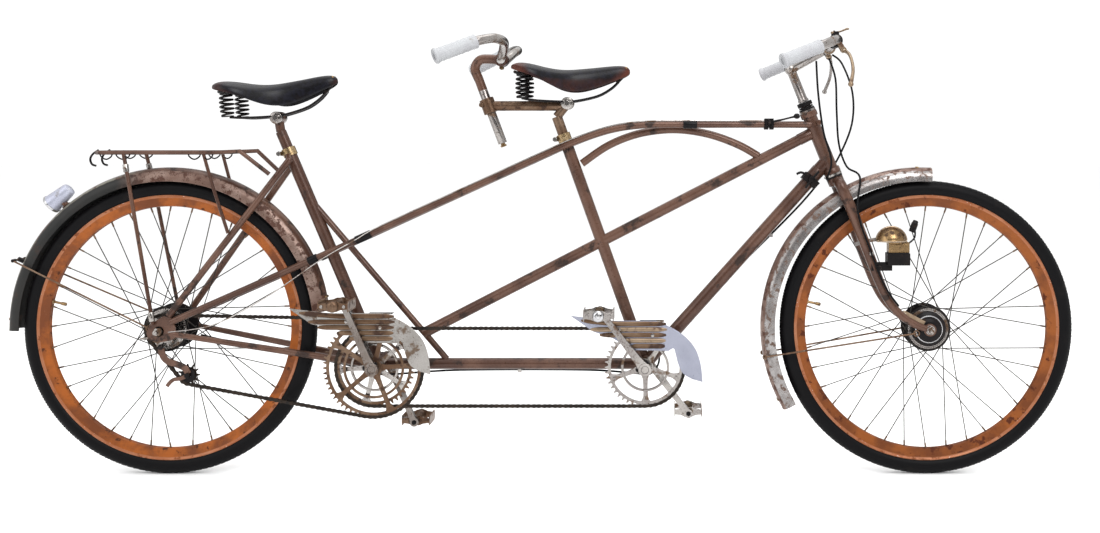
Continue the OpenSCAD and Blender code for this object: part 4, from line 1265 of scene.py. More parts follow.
@dataclass
class ChainRun:
    """A roller chain laid round its wheels, link by link."""

    name: str
    wheels: Sequence[tuple[Vector, float]]
    y: float
    pitch: float = 12.7
    plate_h: float = 8.4

    def path(self) -> list[Vector]:
        """Pin places along the loop, evenly spaced. Returns: the places."""
        rim: list[Vector] = []
        count = len(self.wheels)
        turns = []
        for i in range(count):
            (a, ra), (b, rb) = self.wheels[i], self.wheels[(i + 1) % count]
            d = b - a
            turns.append(atan2(d.z, d.x) + acos((ra - rb) / hypot(d.x, d.z)))
        for i in range(count):
            centre, radius = self.wheels[i]
            start, end = turns[i - 1], turns[i]
            while end > start:
                end -= 2 * pi
            for k in range(33):
                a = start + (end - start) * k / 32
                rim.append(Vector((centre.x + radius * cos(a), self.y, centre.z + radius * sin(a))))
        rim.append(rim[0])
        lengths = [(b - a).length for a, b in zip(rim, rim[1:])]
        total = sum(lengths)
        links = 2 * round(total / self.pitch / 2)
        step, out, at, i = total / links, [], 0.0, 0
        for k in range(links):
            while i < len(lengths) - 1 and at + lengths[i] < k * step:
                at += lengths[i]
                i += 1
            out.append(rim[i].lerp(rim[i + 1], (k * step - at) / max(lengths[i], 1e-6)))
        return out

    def build(self) -> None:
        """Builds the plates, rollers and pins; round the wheels teeth take the rollers' room."""
        pins = self.path()
        shape = Shape()
        for k, (a, b) in enumerate(zip(pins, pins[1:] + pins[:1])):
            outer = k % 2
            for side in SIDES:
                self.plate(shape, a, b, side * (3.9 if outer else 2.9))
            if any((a - centre).xz.length < radius + 1 for centre, radius in self.wheels):
                for side in SIDES:
                    shape.rod(a + Y_AXIS * side * 2.2, a + Y_AXIS * side * 5.2, 1.7, 0.3, 8)
                continue
            shape.rod(a - Y_AXIS * 2.6, a + Y_AXIS * 2.6, 3.9, 0, 10)
            shape.rod(a - Y_AXIS * 5.2, a + Y_AXIS * 5.2, 1.7, 0.3, 8)
        shape.piece(self.name + "_links", CHAIN_STEEL, "frame", [self.name], "chain_steel",
            smooth=30)

    def plate(self, shape: Shape, a: Vector, b: Vector, y: float) -> None:
        """One waisted side plate between two pins. Args: shape, a, b, y."""
        along = (b - a).normalized()
        up = Vector((-along.z, 0, along.x))
        half, outline = self.plate_h / 2, []
        for centre, turn in ((b, -90), (a, 90)):
            for k in range(7):
                t = radians(turn + 180 * k / 6)
                outline.append(centre + along * (half * cos(t)) + up * (half * sin(t)))
            outline.append(a.lerp(b, 0.5) + up * (half * (0.72 if turn < 0 else -0.72)))
        rings = [[p + Y_AXIS * (y + side * 0.45) for p in outline] for side in SIDES]
        shape.loft(rings)


@dataclass
class Crankset:
    """Tapered cranks with cotter pins, bosses and bolts."""

    name: str
    body: str
    axle: Vector
    turn: float
    boss: float
    reach: float = 175.0
    inner: float = 70.0
    thick: float = 14.0

    def frame_point(self, along: float, up: float, turn: float) -> tuple[float, float]:
        """X and Z of a point of a crank. Args: along, up, turn. Returns: the pair."""
        a = radians(turn)
        return (self.axle.x + along * cos(a) - up * sin(a),
            self.axle.z + along * sin(a) + up * cos(a))

    def arm_outline(self, turn: float) -> list[tuple[float, float]]:
        """Outline of one arm: round boss, tapering blade, round pedal eye.

        Args:
            turn: angle of the arm.
        Returns:
            The outline.
        """
        out = []
        for k in range(15):
            a = radians(50 + 260 * k / 14)
            out.append((15.6 * cos(a), 15.6 * sin(a)))
        out += [(30, -9.4), (80, -8.0), (140, -6.8), (self.reach - 13, -7.4)]
        for k in range(11):
            a = radians(-125 + 250 * k / 10)
            out.append((self.reach + 11 * cos(a), 11 * sin(a)))
        out += [(self.reach - 13, 7.4), (140, 6.8), (80, 8.0), (30, 9.4)]
        return [self.frame_point(x, z, turn) for x, z in out]

    def build(self) -> None:
        """Builds both arms, their axle and their fixings."""
        arms, trim = Shape(), Shape()
        out = self.inner + self.thick - 0.6
        for side, turn in ((-1, self.turn), (1, self.turn + 180)):
            arms.slab(self.arm_outline(turn), side * (self.inner + self.thick / 2),
                self.thick - 1.4)
            face = self.axle + Y_AXIS * side * out
            arms.turned(face, Y_AXIS * side, [(-13, 9), (-13, 15.9), (0.4, 15.9), (1.0, 15.2),
                (1.0, 9)], 32, closed=True)
            trim.turned(face, Y_AXIS * side, [(-1, 9.6), (0.9, 9.6), (1.1, 8.8), (-2.2, 7.6),
                (-2.2, 0.01)], 28)
            ex, ez = self.frame_point(self.reach, 0, turn)
            trim.turned((ex, side * out, ez), Y_AXIS * side,
                [(-1, 8.2), (0.7, 8.0), (1.0, 7.2), (1.0, 0.01)], 24)
            trim.hexagon((ex, side * (self.inner + 0.3), ez), Y_AXIS * -side, 6.4, 1.8)
            arms.rod((ex, side * (self.inner + 4), ez), (ex, side * (self.inner + 100), ez), 5.9,
                0.4, 20)
            self.cotter(trim, side, turn)
        arms.rod(self.axle - Y_AXIS * 72, self.axle + Y_AXIS * 72, 8.4, 0.4, 28)
        arms.piece(self.name + "_crank_arms", WORN_STEEL if self.boss else PLATING, self.body,
            [self.name + "_cranks"], "plating", bevel=1.1)
        trim.piece(self.name + "_crank_bolts", BLACK, self.body, bevel=0.3)

    def cotter(self, shape: Shape, side: int, turn: float) -> None:
        """Cotter pin and nut across the boss. Args: shape, side, turn."""
        up, along = around(ORIGIN, 1, radians(turn + 90)), around(ORIGIN, 1, radians(turn))
        at = self.axle + Y_AXIS * side * (self.inner + 7) + along * 9
        shape.rod(at - up * 17, at + up * 19, 3.6, 0.6, 14)
        shape.hexagon(at + up * 13.4, up, 6.4, 4.6)


@dataclass
class RingTrim:
    """Rolled inner ring, flared arm roots and lock ring of a chainring."""

    name: str
    body: str
    centre: Vector
    y: float
    radius: float
    arm_turn: float
    finish: Coat

    def build(self) -> None:
        """Builds the trim on the ring's outer face."""
        shape = Shape()
        middle = self.radius * 0.62 - 3
        face = self.centre + Y_AXIS * (self.y - 1.5)
        shape.turned(face, (0, -1, 0), [(-0.2, middle - 2.6), (0.5, middle - 2.2), (0.9, middle),
            (0.5, middle + 2.2), (-0.2, middle + 2.6)], 72)
        half_widths = [(20, 9), (28, 6.4), (44, 5.4), (self.radius - 24, 5.6),
            (self.radius - 15, 9), (self.radius - 10, 13)]
        outline = half_widths + [(r, -h) for r, h in reversed(half_widths)]
        for k in range(5):
            turn = radians(self.arm_turn + 72 * k)
            plan = [(self.centre.x + r * cos(turn) - h * sin(turn),
                self.centre.z + r * sin(turn) + h * cos(turn)) for r, h in outline]
            shape.slab(plan, self.y, 3.4)
            at = around(self.centre, self.radius - 15, turn, self.y - 1.4)
            shape.rod(at, at - Y_AXIS * 1.4, 3.4, 0.5, 14)
        shape.turned(face, (0, -1, 0), [(-0.4, 9.4), (-0.4, 21), (1.6, 20.4), (2.4, 17),
            (2.4, 9.4)], 40, closed=True)
        shape.piece(self.name + "_ring_arms", self.finish, self.body, bevel=0.3)


@dataclass
class Pedal:
    """Rat-trap pedal: serrated cage plates, barrel, end plates and dust cap."""

    name: str
    body: str
    eye: Vector
    side: int
    barrel: Coat
    plates: Coat
    inner: float = 90.0
    outer: float = 162.0
    half: float = 8.5
    teeth: int = 6

    def toothed(self) -> list[tuple[float, float]]:
        """Outline of a cage plate along Y, teeth above and below. Returns: the outline."""
        step, top = (self.outer - self.inner) / self.teeth, [(self.inner, self.half)]
        for k in range(self.teeth):
            for share, rise in ((0.12, 0), (0.34, 4.4), (0.66, 4.4), (0.88, 0)):
                top.append((self.inner + (k + share) * step, self.half + rise))
        top.append((self.outer, self.half))
        return top + [(a, -h) for a, h in reversed(top)]

    def build(self) -> None:
        """Builds the pedal."""
        at, s = self.eye, self.side
        cage, body = Shape(), Shape()
        for x in (-34, 34):
            rings = [[Vector((at.x + x + t, s * a, at.z + h)) for a, h in self.toothed()]
                for t in (-1.1, 1.1)]
            cage.loft(rings)
        edge = [(-34, 6), (-18, 8), (-9, 12), (9, 12), (18, 8), (34, 6)]
        outline = [(at.x + x, at.z + z) for x, z in edge + [(x, -z) for x, z in reversed(edge)]]
        for y in (91, 161):
            cage.slab(outline, s * y, 2.4)
        cage.piece(self.name + "_cage", self.plates, self.body, [self.name], "brass", bevel=0.3)
        base = Vector((at.x, 0, at.z))
        profile = [(87.2, 6.4), (87.2, 11.5), (88.4, 12.0), (92, 12.0), (98, 10.2), (126, 9.4),
            (150, 10.2), (158, 12.0), (163, 12.4), (163, 6.4)]
        body.turned(base, Y_AXIS * s, profile, 32, closed=True)
        body.piece(self.name + "_barrel", self.barrel, self.body)
        cap = Shape().turned(base, Y_AXIS * s, [(162.6, 13.2), (164.4, 13.4), (168, 12.6),
            (171, 9.6), (171.8, 6.0), (173.0, 5.2), (173.4, 0.01)], 32)
        cap.piece(self.name + "_cap", BRIGHT if self.barrel is BRASS else self.barrel, self.body)
        bolts = Shape()
        for x in (-26, 26):
            bolts.hexagon(Vector((at.x + x, s * 162.2, at.z)), Y_AXIS * s, 4.2, 3)
        bolts.piece(self.name + "_bolts", PLATING, self.body)


@dataclass
class Tensioner:
    """Curved arm with its hook, and the pulley's cage and bolts, of the chain tensioner."""

    layout: Layout

    def build(self) -> None:
        """Builds the tensioner."""
        arm, at = Shape(), self.layout.pulley
        path = curve_through([(-898, 314), (-893, 296), (-882, 284), (-862, 277), (-842, 268),
            (-833, 254)], 6)
        arm.bar(path, -67.0, 15, 4.5)
        hook = curve_through([(-833, 252), (-850, 243), (-868, 240), (-878, 232), (-884, 224)], 5)
        arm.bar(hook, -66.6, 9, 3.5)
        arm.piece("tensioner_curved_arm", FRAME_PAINT, "frame", ["tensioner_arm"], "frame_paint",
            bevel=0.8)
        cage = Shape().washer((at.x, -63.4, at.z), (0, -1, 0), 5, 17, 1.4, 32)
        cage.rod(Vector((at.x, -52.8, at.z)), Vector((at.x, -71.4, at.z)), 3.9, 0.5, 18)
        cage.hexagon(Vector((at.x, -69.2, at.z)), (0, -1, 0), 7, 4)
        cage.rod(Vector((-898, -64, 318)), Vector((-898, -73, 318)), 6.5, 0.8, 20)
        cage.piece("tensioner_cage", BLACK, "frame", bevel=0.3)


@dataclass
class ChainGuard:
    """Hockey-stick guard with raised flutes along its body and a smooth fin at its tip."""

    name: str
    axle: Vector
    tail: float
    top: float
    y: float
    body_finish: Coat
    fin_finish: Coat
    bright_flute: Coat
    rows: int = 5

    def outline(self) -> list[tuple[float, float]]:
        """Outline from the rear point clockwise, round the bracket. Returns: the outline."""
        t, h = self.tail, self.top
        edge = [(t, h + 12), (t + 95, h), (24, h), (48, h - 9), (80, h - 26), (104, h - 46),
            (122, h - 71), (133, h - 106), (137, h - 146), (112, h - 139), (90, h - 125),
            (79, h - 103), (73, h - 80), (68, h - 66), (56, h - 72), (-30, h - 70), (-76, h - 42),
            (t + 55, h - 26)]
        return [(self.axle.x + x, self.axle.z + z) for x, z in edge]

    def smooth_outline(self) -> list[Point]:
        """The outline with its curved stretches rounded. Returns: the points."""
        p = self.outline()
        return p[:2] + curve_through(p[2:9], 4) + curve_through(p[9:15], 4) + p[15:]

    def build(self) -> None:
        """Builds the sheet, its flutes, its fin and its screws."""
        sheet = Shape().slab(self.smooth_outline(), self.y, 1.6)
        sheet.piece(self.name + "_sheet", self.fin_finish, "frame", [self.name], "guard_paint",
            bevel=0.5)
        flutes, bright = Shape(), Shape()
        for k in range(self.rows):
            z = self.axle.z + self.top - 7.5 - 13.2 * k
            start = self.axle.x + self.tail + 26 + (22 if k < 3 else 30) * k
            end = self.axle.x + 52 - 1.5 * abs(k - 1)
            self.flute(bright if k in (1, 3) else flutes, start, end, z + (8 if k == 0 else 0), z)
        flutes.piece(self.name + "_flutes", self.body_finish, "frame", smooth=60)
        bright.piece(self.name + "_bright_flutes", self.bright_flute, "frame", smooth=60)
        screws = Shape()
        for x, z in ((18, self.top - 34), (-62, self.top - 20)):
            at = self.axle + Vector((x, 0, z))
            at.y = self.y - 5.5
            screws.turned(at, (0, -1, 0), [(0, 4.6), (0.9, 4.2), (1.4, 2.6), (1.5, 0.01)], 16)
        tab = Vector((self.axle.x + 16, self.y + 12.5, self.axle.z + self.top - 2.2))
        screws.block(tab, (58, 25, 1.6))
        screws.piece(self.name + "_tabs", PLATING, "frame", bevel=0.3)

    def flute(self, shape: Shape, start: float, end: float, z_start: float, z_end: float) -> None:
        """One raised, round-ended flute.

        Args:
            shape: the shape that it joins.
            start: X of its rear end.
            end: X of its front end.
            z_start: height at its rear end.
            z_end: height at its front end.
        """
        rings, steps = [], 16
        for t in (i / steps for i in range(steps + 1)):
            x = start + (end - start) * t
            swell = max(sin(pi * min(t, 1 - t) * 5), 0.08) if min(t, 1 - t) < 0.1 else 1.0
            z = z_start + (z_end - z_start) * min(1.0, t * 2.4)
            rings.append([Vector((x, self.y - 0.6 - 4.6 * swell * sin(a),
                z + 6.0 * max(swell, 0.4) * cos(a))) for a in (pi * k / 8 for k in range(9))])
        shape.loft(rings, closed=True)


# ---------------------------------------------------------------- fork and handlebars

@dataclass
class Fork:
    """Curved blades, crown, dropouts and the front axle with its brake plate."""

    layout: Layout
    blade: tuple = ((724, -38, 700), (752, -44, 634), (790, -47, 534), (818, -48, 462),
        (842, -49, 417), (872, -50, 385), (905, -51, 366), (928, -51, 358))
    widths: tuple = (27, 27, 25, 23, 21, 19, 17, 15)

    def build(self) -> None:
        """Builds the fork, its headset rings and the front axle."""
        up, head = self.layout.head_dir, self.layout.head
        path = curve_through(self.blade, 5)
        radii = []
        for i, wide in enumerate(self.widths[:-1]):
            radii += [(wide + (self.widths[i + 1] - wide) * k / 5) / 2 for k in range(5)]
        radii.append(self.widths[-1] / 2)
        crown = head - up * 100
        side = Shape().tube(path, radii, 22)
        shoulder = curve_through([crown + Vector((0, -4, 2)), crown + Vector((3, -22, 0)),
            Vector(self.blade[0]), Vector(self.blade[0]).lerp(Vector(self.blade[1]), 0.3)], 5)
        side.tube(shoulder, 13.8, 22)
        hub = self.layout.front_hub
        side.slab([around(hub, 15, a).xz for a in circle(28)], -51, 5.2)
        side.both_sides()
        side.rod(crown - up * 6, crown + up * 15, 20, 2.0, 36)
        side.rod(crown, head + up * 109, 12.6, 0.5, 30)
        side.piece("fork_blades", FRAME_PAINT, "steering", ["fork"], "frame_paint", smooth=50)
        rings = Shape()
        for at, radius, thick in ((-86, 20.6, 5), (-91, 18.2, 3), (91, 19.4, 4.5), (96, 17.6, 4)):
            rings.rod(head + up * at - up * thick / 2, head + up * at + up * thick / 2, radius, 0.8,
                40)
        self.locknut(rings, head + up * 99, up)
        rings.piece("headset_rings", BLACK, "steering", bevel=0.2)
        self.axle(hub)

    def locknut(self, shape: Shape, base: Vector, up: Vector) -> None:
        """Knurled locknut above the headset. Args: shape, base, up."""
        rings, (first, second) = [], across(up)
        for height, grow in ((0, 17.2), (0.8, 18.6), (9.2, 18.6), (10.4, 16.8), (10.4, 12.9)):
            rings.append([])
            for k, a in enumerate(circle(72)):
                r = grow - (0.7 if k % 2 and grow > 18 else 0.0)
                rings[-1].append(base + up * height + first * (r * cos(a)) + second * (r * sin(a)))
        shape.loft(rings)

    def axle(self, hub: Vector) -> None:
        """Axle, nuts, washers, brake plate and reaction arm. Args: hub: the wheel centre."""
        metal = Shape().rod(hub - Y_AXIS * 78, hub + Y_AXIS * 78, 4.9, 0.6, 20)
        for s in SIDES:
            metal.washer(hub + Y_AXIS * s * 54, Y_AXIS * s, 5.1, 11.5, 1.6, 28)
            metal.hexagon(hub + Y_AXIS * s * 55.6, Y_AXIS * s, 10, 7.4)
        metal.piece("front_axle_nuts", PLATING, "steering", ["front_axle"], "plating", bevel=0.3)
        plate = Shape().turned(hub, (0, -1, 0), [(30.5, 5.2), (30.5, 41.6), (33, 42), (36, 42),
            (38, 40), (39.6, 33), (43.2, 30), (44.2, 24), (46.6, 20), (47.4, 12), (47.4, 5.2)], 64,
            closed=True)
        plate.piece("front_brake_plate", BLACK, "steering")
        arm = Shape().slab([(hub.x - 10, hub.z + 20), (hub.x - 58, hub.z + 45),
            (hub.x - 66, hub.z + 38), (hub.x - 20, hub.z + 2)], -46, 4)
        arm.rod(hub + Vector((-61, -50, 41)), hub + Vector((-61, -42, 41)), 4.6, 0.6, 16)
        arm.piece("front_brake_arm", BEIGE, "steering", bevel=0.8)
        ring = Shape().turned(hub, (0, -1, 0), [(39.2, 27), (41.4, 28), (42.2, 31), (40.6, 33),
            (39.0, 33)], 56, closed=True)
        ring.piece("front_plate_ring", BRIGHT, "steering")


@dataclass
class Grip:
    """A moulded handlebar grip with finger ridges and an open end."""

    name: str
    body: str
    start: Vector
    end: Vector
    radius: float = 16.2

    def build(self, replaces: Sequence[str] = ()) -> None:
        """Builds the grip. Args: replaces: CAD nodes that it stands for."""
        length = (self.end - self.start).length
        profile = [(0.4, 11.6), (0.0, self.radius - 2.0), (1.2, self.radius - 0.4),
            (3, self.radius - 0.2)]
        for k in range(6):
            at = 10 + (length - 24) * k / 5
            profile += [(at - 3.4, self.radius - 1.2), (at, self.radius - 0.4),
                (at + 3.4, self.radius - 1.2)]
        profile += [(length - 4, self.radius - 0.8), (length - 1.5, self.radius + 1.2),
            (length + 1.8, self.radius + 1.5), (length + 4.4, self.radius - 0.2),
            (length + 4.8, 8.4), (length + 1.0, 7.6), (length + 0.6, 0.01)]
        shape = Shape().turned(self.start, self.end - self.start, profile, 36)
        shape.piece(self.name, GRIP, self.body, replaces, "grip_plastic" if replaces else "")


@dataclass
class CaptainBars:
    """The front handlebar with its grips, perches, levers and stem fittings."""

    layout: Layout
    bar: tuple = ((697, 0, 1034), (697, -40, 1034), (700, -85, 1040), (699, -135, 1043),
        (688, -185, 1038), (668, -222, 1029), (650, -241.2, 1020.8), (630, -249.2, 1012.6),
        (595, -263.2, 998.2), (566, -274.8, 986.2))
    lever: tuple = ((717, 120, 1020), (727, 150, 1006), (729, 185, 972), (719, 215, 936))

    def build(self) -> None:
        """Builds the bar and everything on it."""
        tube = Shape().tube(curve_through(self.bar, 6), 11, 22).both_sides()
        tube.rod((697, -27, 1034), (697, 27, 1034), 12.4, 1.2, 30)
        tube.piece("captain_bar_tube", PLATING, "steering", ["captain_bar"], "plating")
        for side, word in WORDS:
            grip = Grip("captain_grip_" + word, "steering", mirrored((648, 242, 1020), side),
                mirrored((563, 276, 985), side))
            grip.build(["captain_grips"] if side < 0 else [])
            self.brake_lever(side, word)
        self.perches()
        self.stem_fittings()
        self.thumb()

    def brake_lever(self, side: int, word: str) -> None:
        """One tapered lever with its round end.

        Args:
            side: -1 for the chain side.
            word: its name.
        """
        path = curve_through([mirrored(p, side) for p in self.lever], 6)
        radii = [5.0 - 1.3 * sin(pi * min(k / (len(path) - 1), 0.9)) for k in range(len(path))]
        shape = Shape().tube(path, radii, 16)
        shape.ball(path[-1], 6.4, 18)
        pivot = Vector((self.layout.lever.x, side * 120, self.layout.lever.z))
        shape.washer(pivot - Y_AXIS * 5.6, Y_AXIS, 2.6, 7.0, 11.2, 28)
        body = "brake_lever_r" if side < 0 else "brake_lever_l"
        shape.piece("brake_lever_blade_" + word, BEIGE if side < 0 else PLATING, body,
            ["brake_lever_" + word], "lever_paint", smooth=50)

    def perches(self) -> None:
        """Split clamps, forks and pins that hold the levers."""
        clamp, forks = Shape(), Shape()
        for side in SIDES:
            centre = Vector((699, side * 120, 1041.8))
            clamp.turned(centre - Y_AXIS * 9, Y_AXIS, [(0, 11.6), (0, 14.6), (1, 15.6), (17, 15.6),
                (18, 14.6), (18, 11.6)], 36, closed=True)
            clamp.block(centre + Vector((0, 0, 17)), (9, 15, 9))
            clamp.hexagon(centre + Vector((4, 0, 17.5)), (1, 0, 0), 4.6, 3.6)
            for y in (112, 128):
                forks.bar([(705, 1037), (711, 1029), (717.5, 1018)], side * y, 11, 2.6)
            forks.rod((717, side * 109.6, 1020), (717, side * 130.4, 1020), 2.4, 0.4, 14)
            forks.ball((717, side * 109.8, 1020), 3.8, 12, (1, 0.5, 1))
        clamp.piece("lever_clamp_bands", BLACK, "steering", ["lever_mounts"], "brass", bevel=0.5)
        forks.piece("lever_perches", BEIGE, "steering", bevel=0.4)

    def stem_fittings(self) -> None:
        """Expander bolt, pinch bolt and the rod beside the stem."""
        up, head = self.layout.head_dir, self.layout.head
        top = head + up * 196
        clamp_at = Vector((697, 0, 1034))
        neck = head + up * 110
        stem = Shape().turned(neck, up, [(0, 11.1), (0, 12.6), (3, 13.2), (6, 12.4), (8, 11.1),
            (80, 11.1), (88, 12.2)], 36)
        stem.ball(top, 15, 26)
        stem.rod(top, clamp_at, 12, 0.6, 32)
        stem.turned(clamp_at - Y_AXIS * 22, Y_AXIS, [(0, 11.6), (0, 15.4), (1.6, 17), (42.4, 17),
            (44, 15.4), (44, 11.6)], 40, closed=True)
        stem.rod((697, -7, 1017), (697, 7, 1017), 6.4, 0.8, 20)
        stem.piece("stem_quill", PLATING, "steering", ["stem"], "plating", smooth=50)
        shape = Shape().hexagon(top + up * 12.5, up, 8.2, 6.5)
        shape.rod((697, -9, 1015), (697, 9, 1015), 5.2, 0.8, 18)
        shape.hexagon((697, -9, 1015), (0, -1, 0), 6.2, 4.5)
        for s in SIDES:
            shape.turned(Vector((697, s * 20.4, 1034)), Y_AXIS * s,
                [(0, 12), (0, 16.6), (2.4, 16.0), (3.0, 12)], 36, closed=True)
        shape.piece("stem_fittings", BEIGE, "steering", bevel=0.4)
        rod = Shape().tube([(612, -26, 972), (622, -26, 950), (640, -25, 908)], 2.4, 10)
        rod.rod((614, -29, 970), (614, -12, 972), 4.4, 0.6, 16)
        rod.piece("stem_rod", PLATING, "steering")

    def thumb(self) -> None:
        """Thumb lever: clamp, drum and paddle."""
        at = self.layout.thumb
        base = Vector((699, -94, 1040.6))
        clamp = Shape().washer(base - Y_AXIS * 6, Y_AXIS, 11.6, 15.4, 12, 32)
        clamp.rod((699, -94, 1055), (699, -94, 1060), 7, 0.6, 24)
        clamp.rod((699, -94, 1060), (699, -94, 1068), 2.4, 0.5, 14)
        clamp.piece("thumb_clamp", BLACK, "steering", bevel=0.3)
        lever = Shape().turned(Vector((at.x, at.y, 1060.6)), (0, 0, 1),
            [(0, 2.6), (0, 7.6), (1, 8.2), (3.8, 8.2), (4.8, 7.4), (4.8, 2.6)], 32, closed=True)
        lever.tube([(702, -99, 1063), (713, -104, 1065), (722, -108, 1068.5), (728, -110, 1071)],
            [2.6, 2.0, 2.2, 2.8], 12)
        lever.ball((728.6, -110.4, 1070.2), 3.6, 14, (1, 1, 0.7))
        lever.piece("thumb_paddle", BEIGE, "thumb", ["thumb_lever"], "black_paint")


@dataclass
class StokerBars:
    """The rear handlebar on its adjustable post, with its grips."""

    bar_at: Vector
    up: Vector
    bar: tuple = ((-96, 0, 1004), (-96, -20, 1004), (-92, -45, 1007), (-80, -90, 1026),
        (-74, -140, 1038), (-88, -185, 1042), (-112, -217, 1036), (-130, -230.1, 1029.4),
        (-168, -249.5, 1012.7), (-206, -269, 996))

    def build(self) -> None:
        """Builds the post, elbow, clamp, bar and grips."""
        body = "stoker_handlebar"
        tube = Shape().tube(curve_through(self.bar, 6), 11, 22).both_sides()
        low, top = self.bar_at - self.up * 97, self.bar_at + self.up * 96
        tube.rod(low, self.bar_at + self.up * 41, 11, 0.8, 28)
        tube.piece("stoker_bar_tube", PLATING, body, ["stoker_bar"], "plating")
        elbow = curve_through([self.bar_at + self.up * 40.5, self.bar_at + self.up * 66, top,
            Vector((-150, 0, 1004)), Vector((-128, 0, 1007)), Vector((-98, 0, 1004))], 6)
        stem = Shape().tube(elbow, [11.2] * 7 + [11.6] * (len(elbow) - 7), 22)
        stem.rod((-96, -20, 1004), (-96, 20, 1004), 16, 1.6, 34)
        stem.piece("stoker_stem", FRAME_PAINT, body, smooth=60)
        bolts = Shape().rod(low - self.up * 5, low, 5.4, 0.8, 18)
        bolts.hexagon(low - self.up * 4, -self.up, 7.6, 5)
        bolts.rod((-96, -8, 985.6), (-96, 8, 985.6), 4.6, 0.6, 16)
        bolts.hexagon(Vector((-96, -8, 985.6)), (0, -1, 0), 5.8, 4)
        bolts.piece("stoker_stem_bolts", BRASS, body, bevel=0.3)
        for side, word in WORDS:
            grip = Grip("stoker_grip_" + word, body, mirrored((-124, 227, 1032), side),
                mirrored((-206, 269, 996), side), 16.8)
            grip.build()
        at = self.bar_at
        clamp = Shape().turned(at - self.up * 18.4, self.up,
            [(0, 11.4), (0, 16.2), (1.2, 17.5), (35.6, 17.5), (36.8, 16.2), (36.8, 11.4)], 40,
            closed=True)
        clamp.rod(at + Vector((-16, -13, 2)), at + Vector((-16, 13, 2)), 5, 0.8, 18)
        clamp.hexagon(at + Vector((-16, -13, 2)), (0, -1, 0), 6.4, 4.6)
        clamp.piece("bar_extension_clamp", RUSTED, "captain_seat", bevel=0.5)


class SaddleKind(Enum):
    """Which rider's saddle."""

    CAPTAIN = "captain"
    STOKER = "stoker"


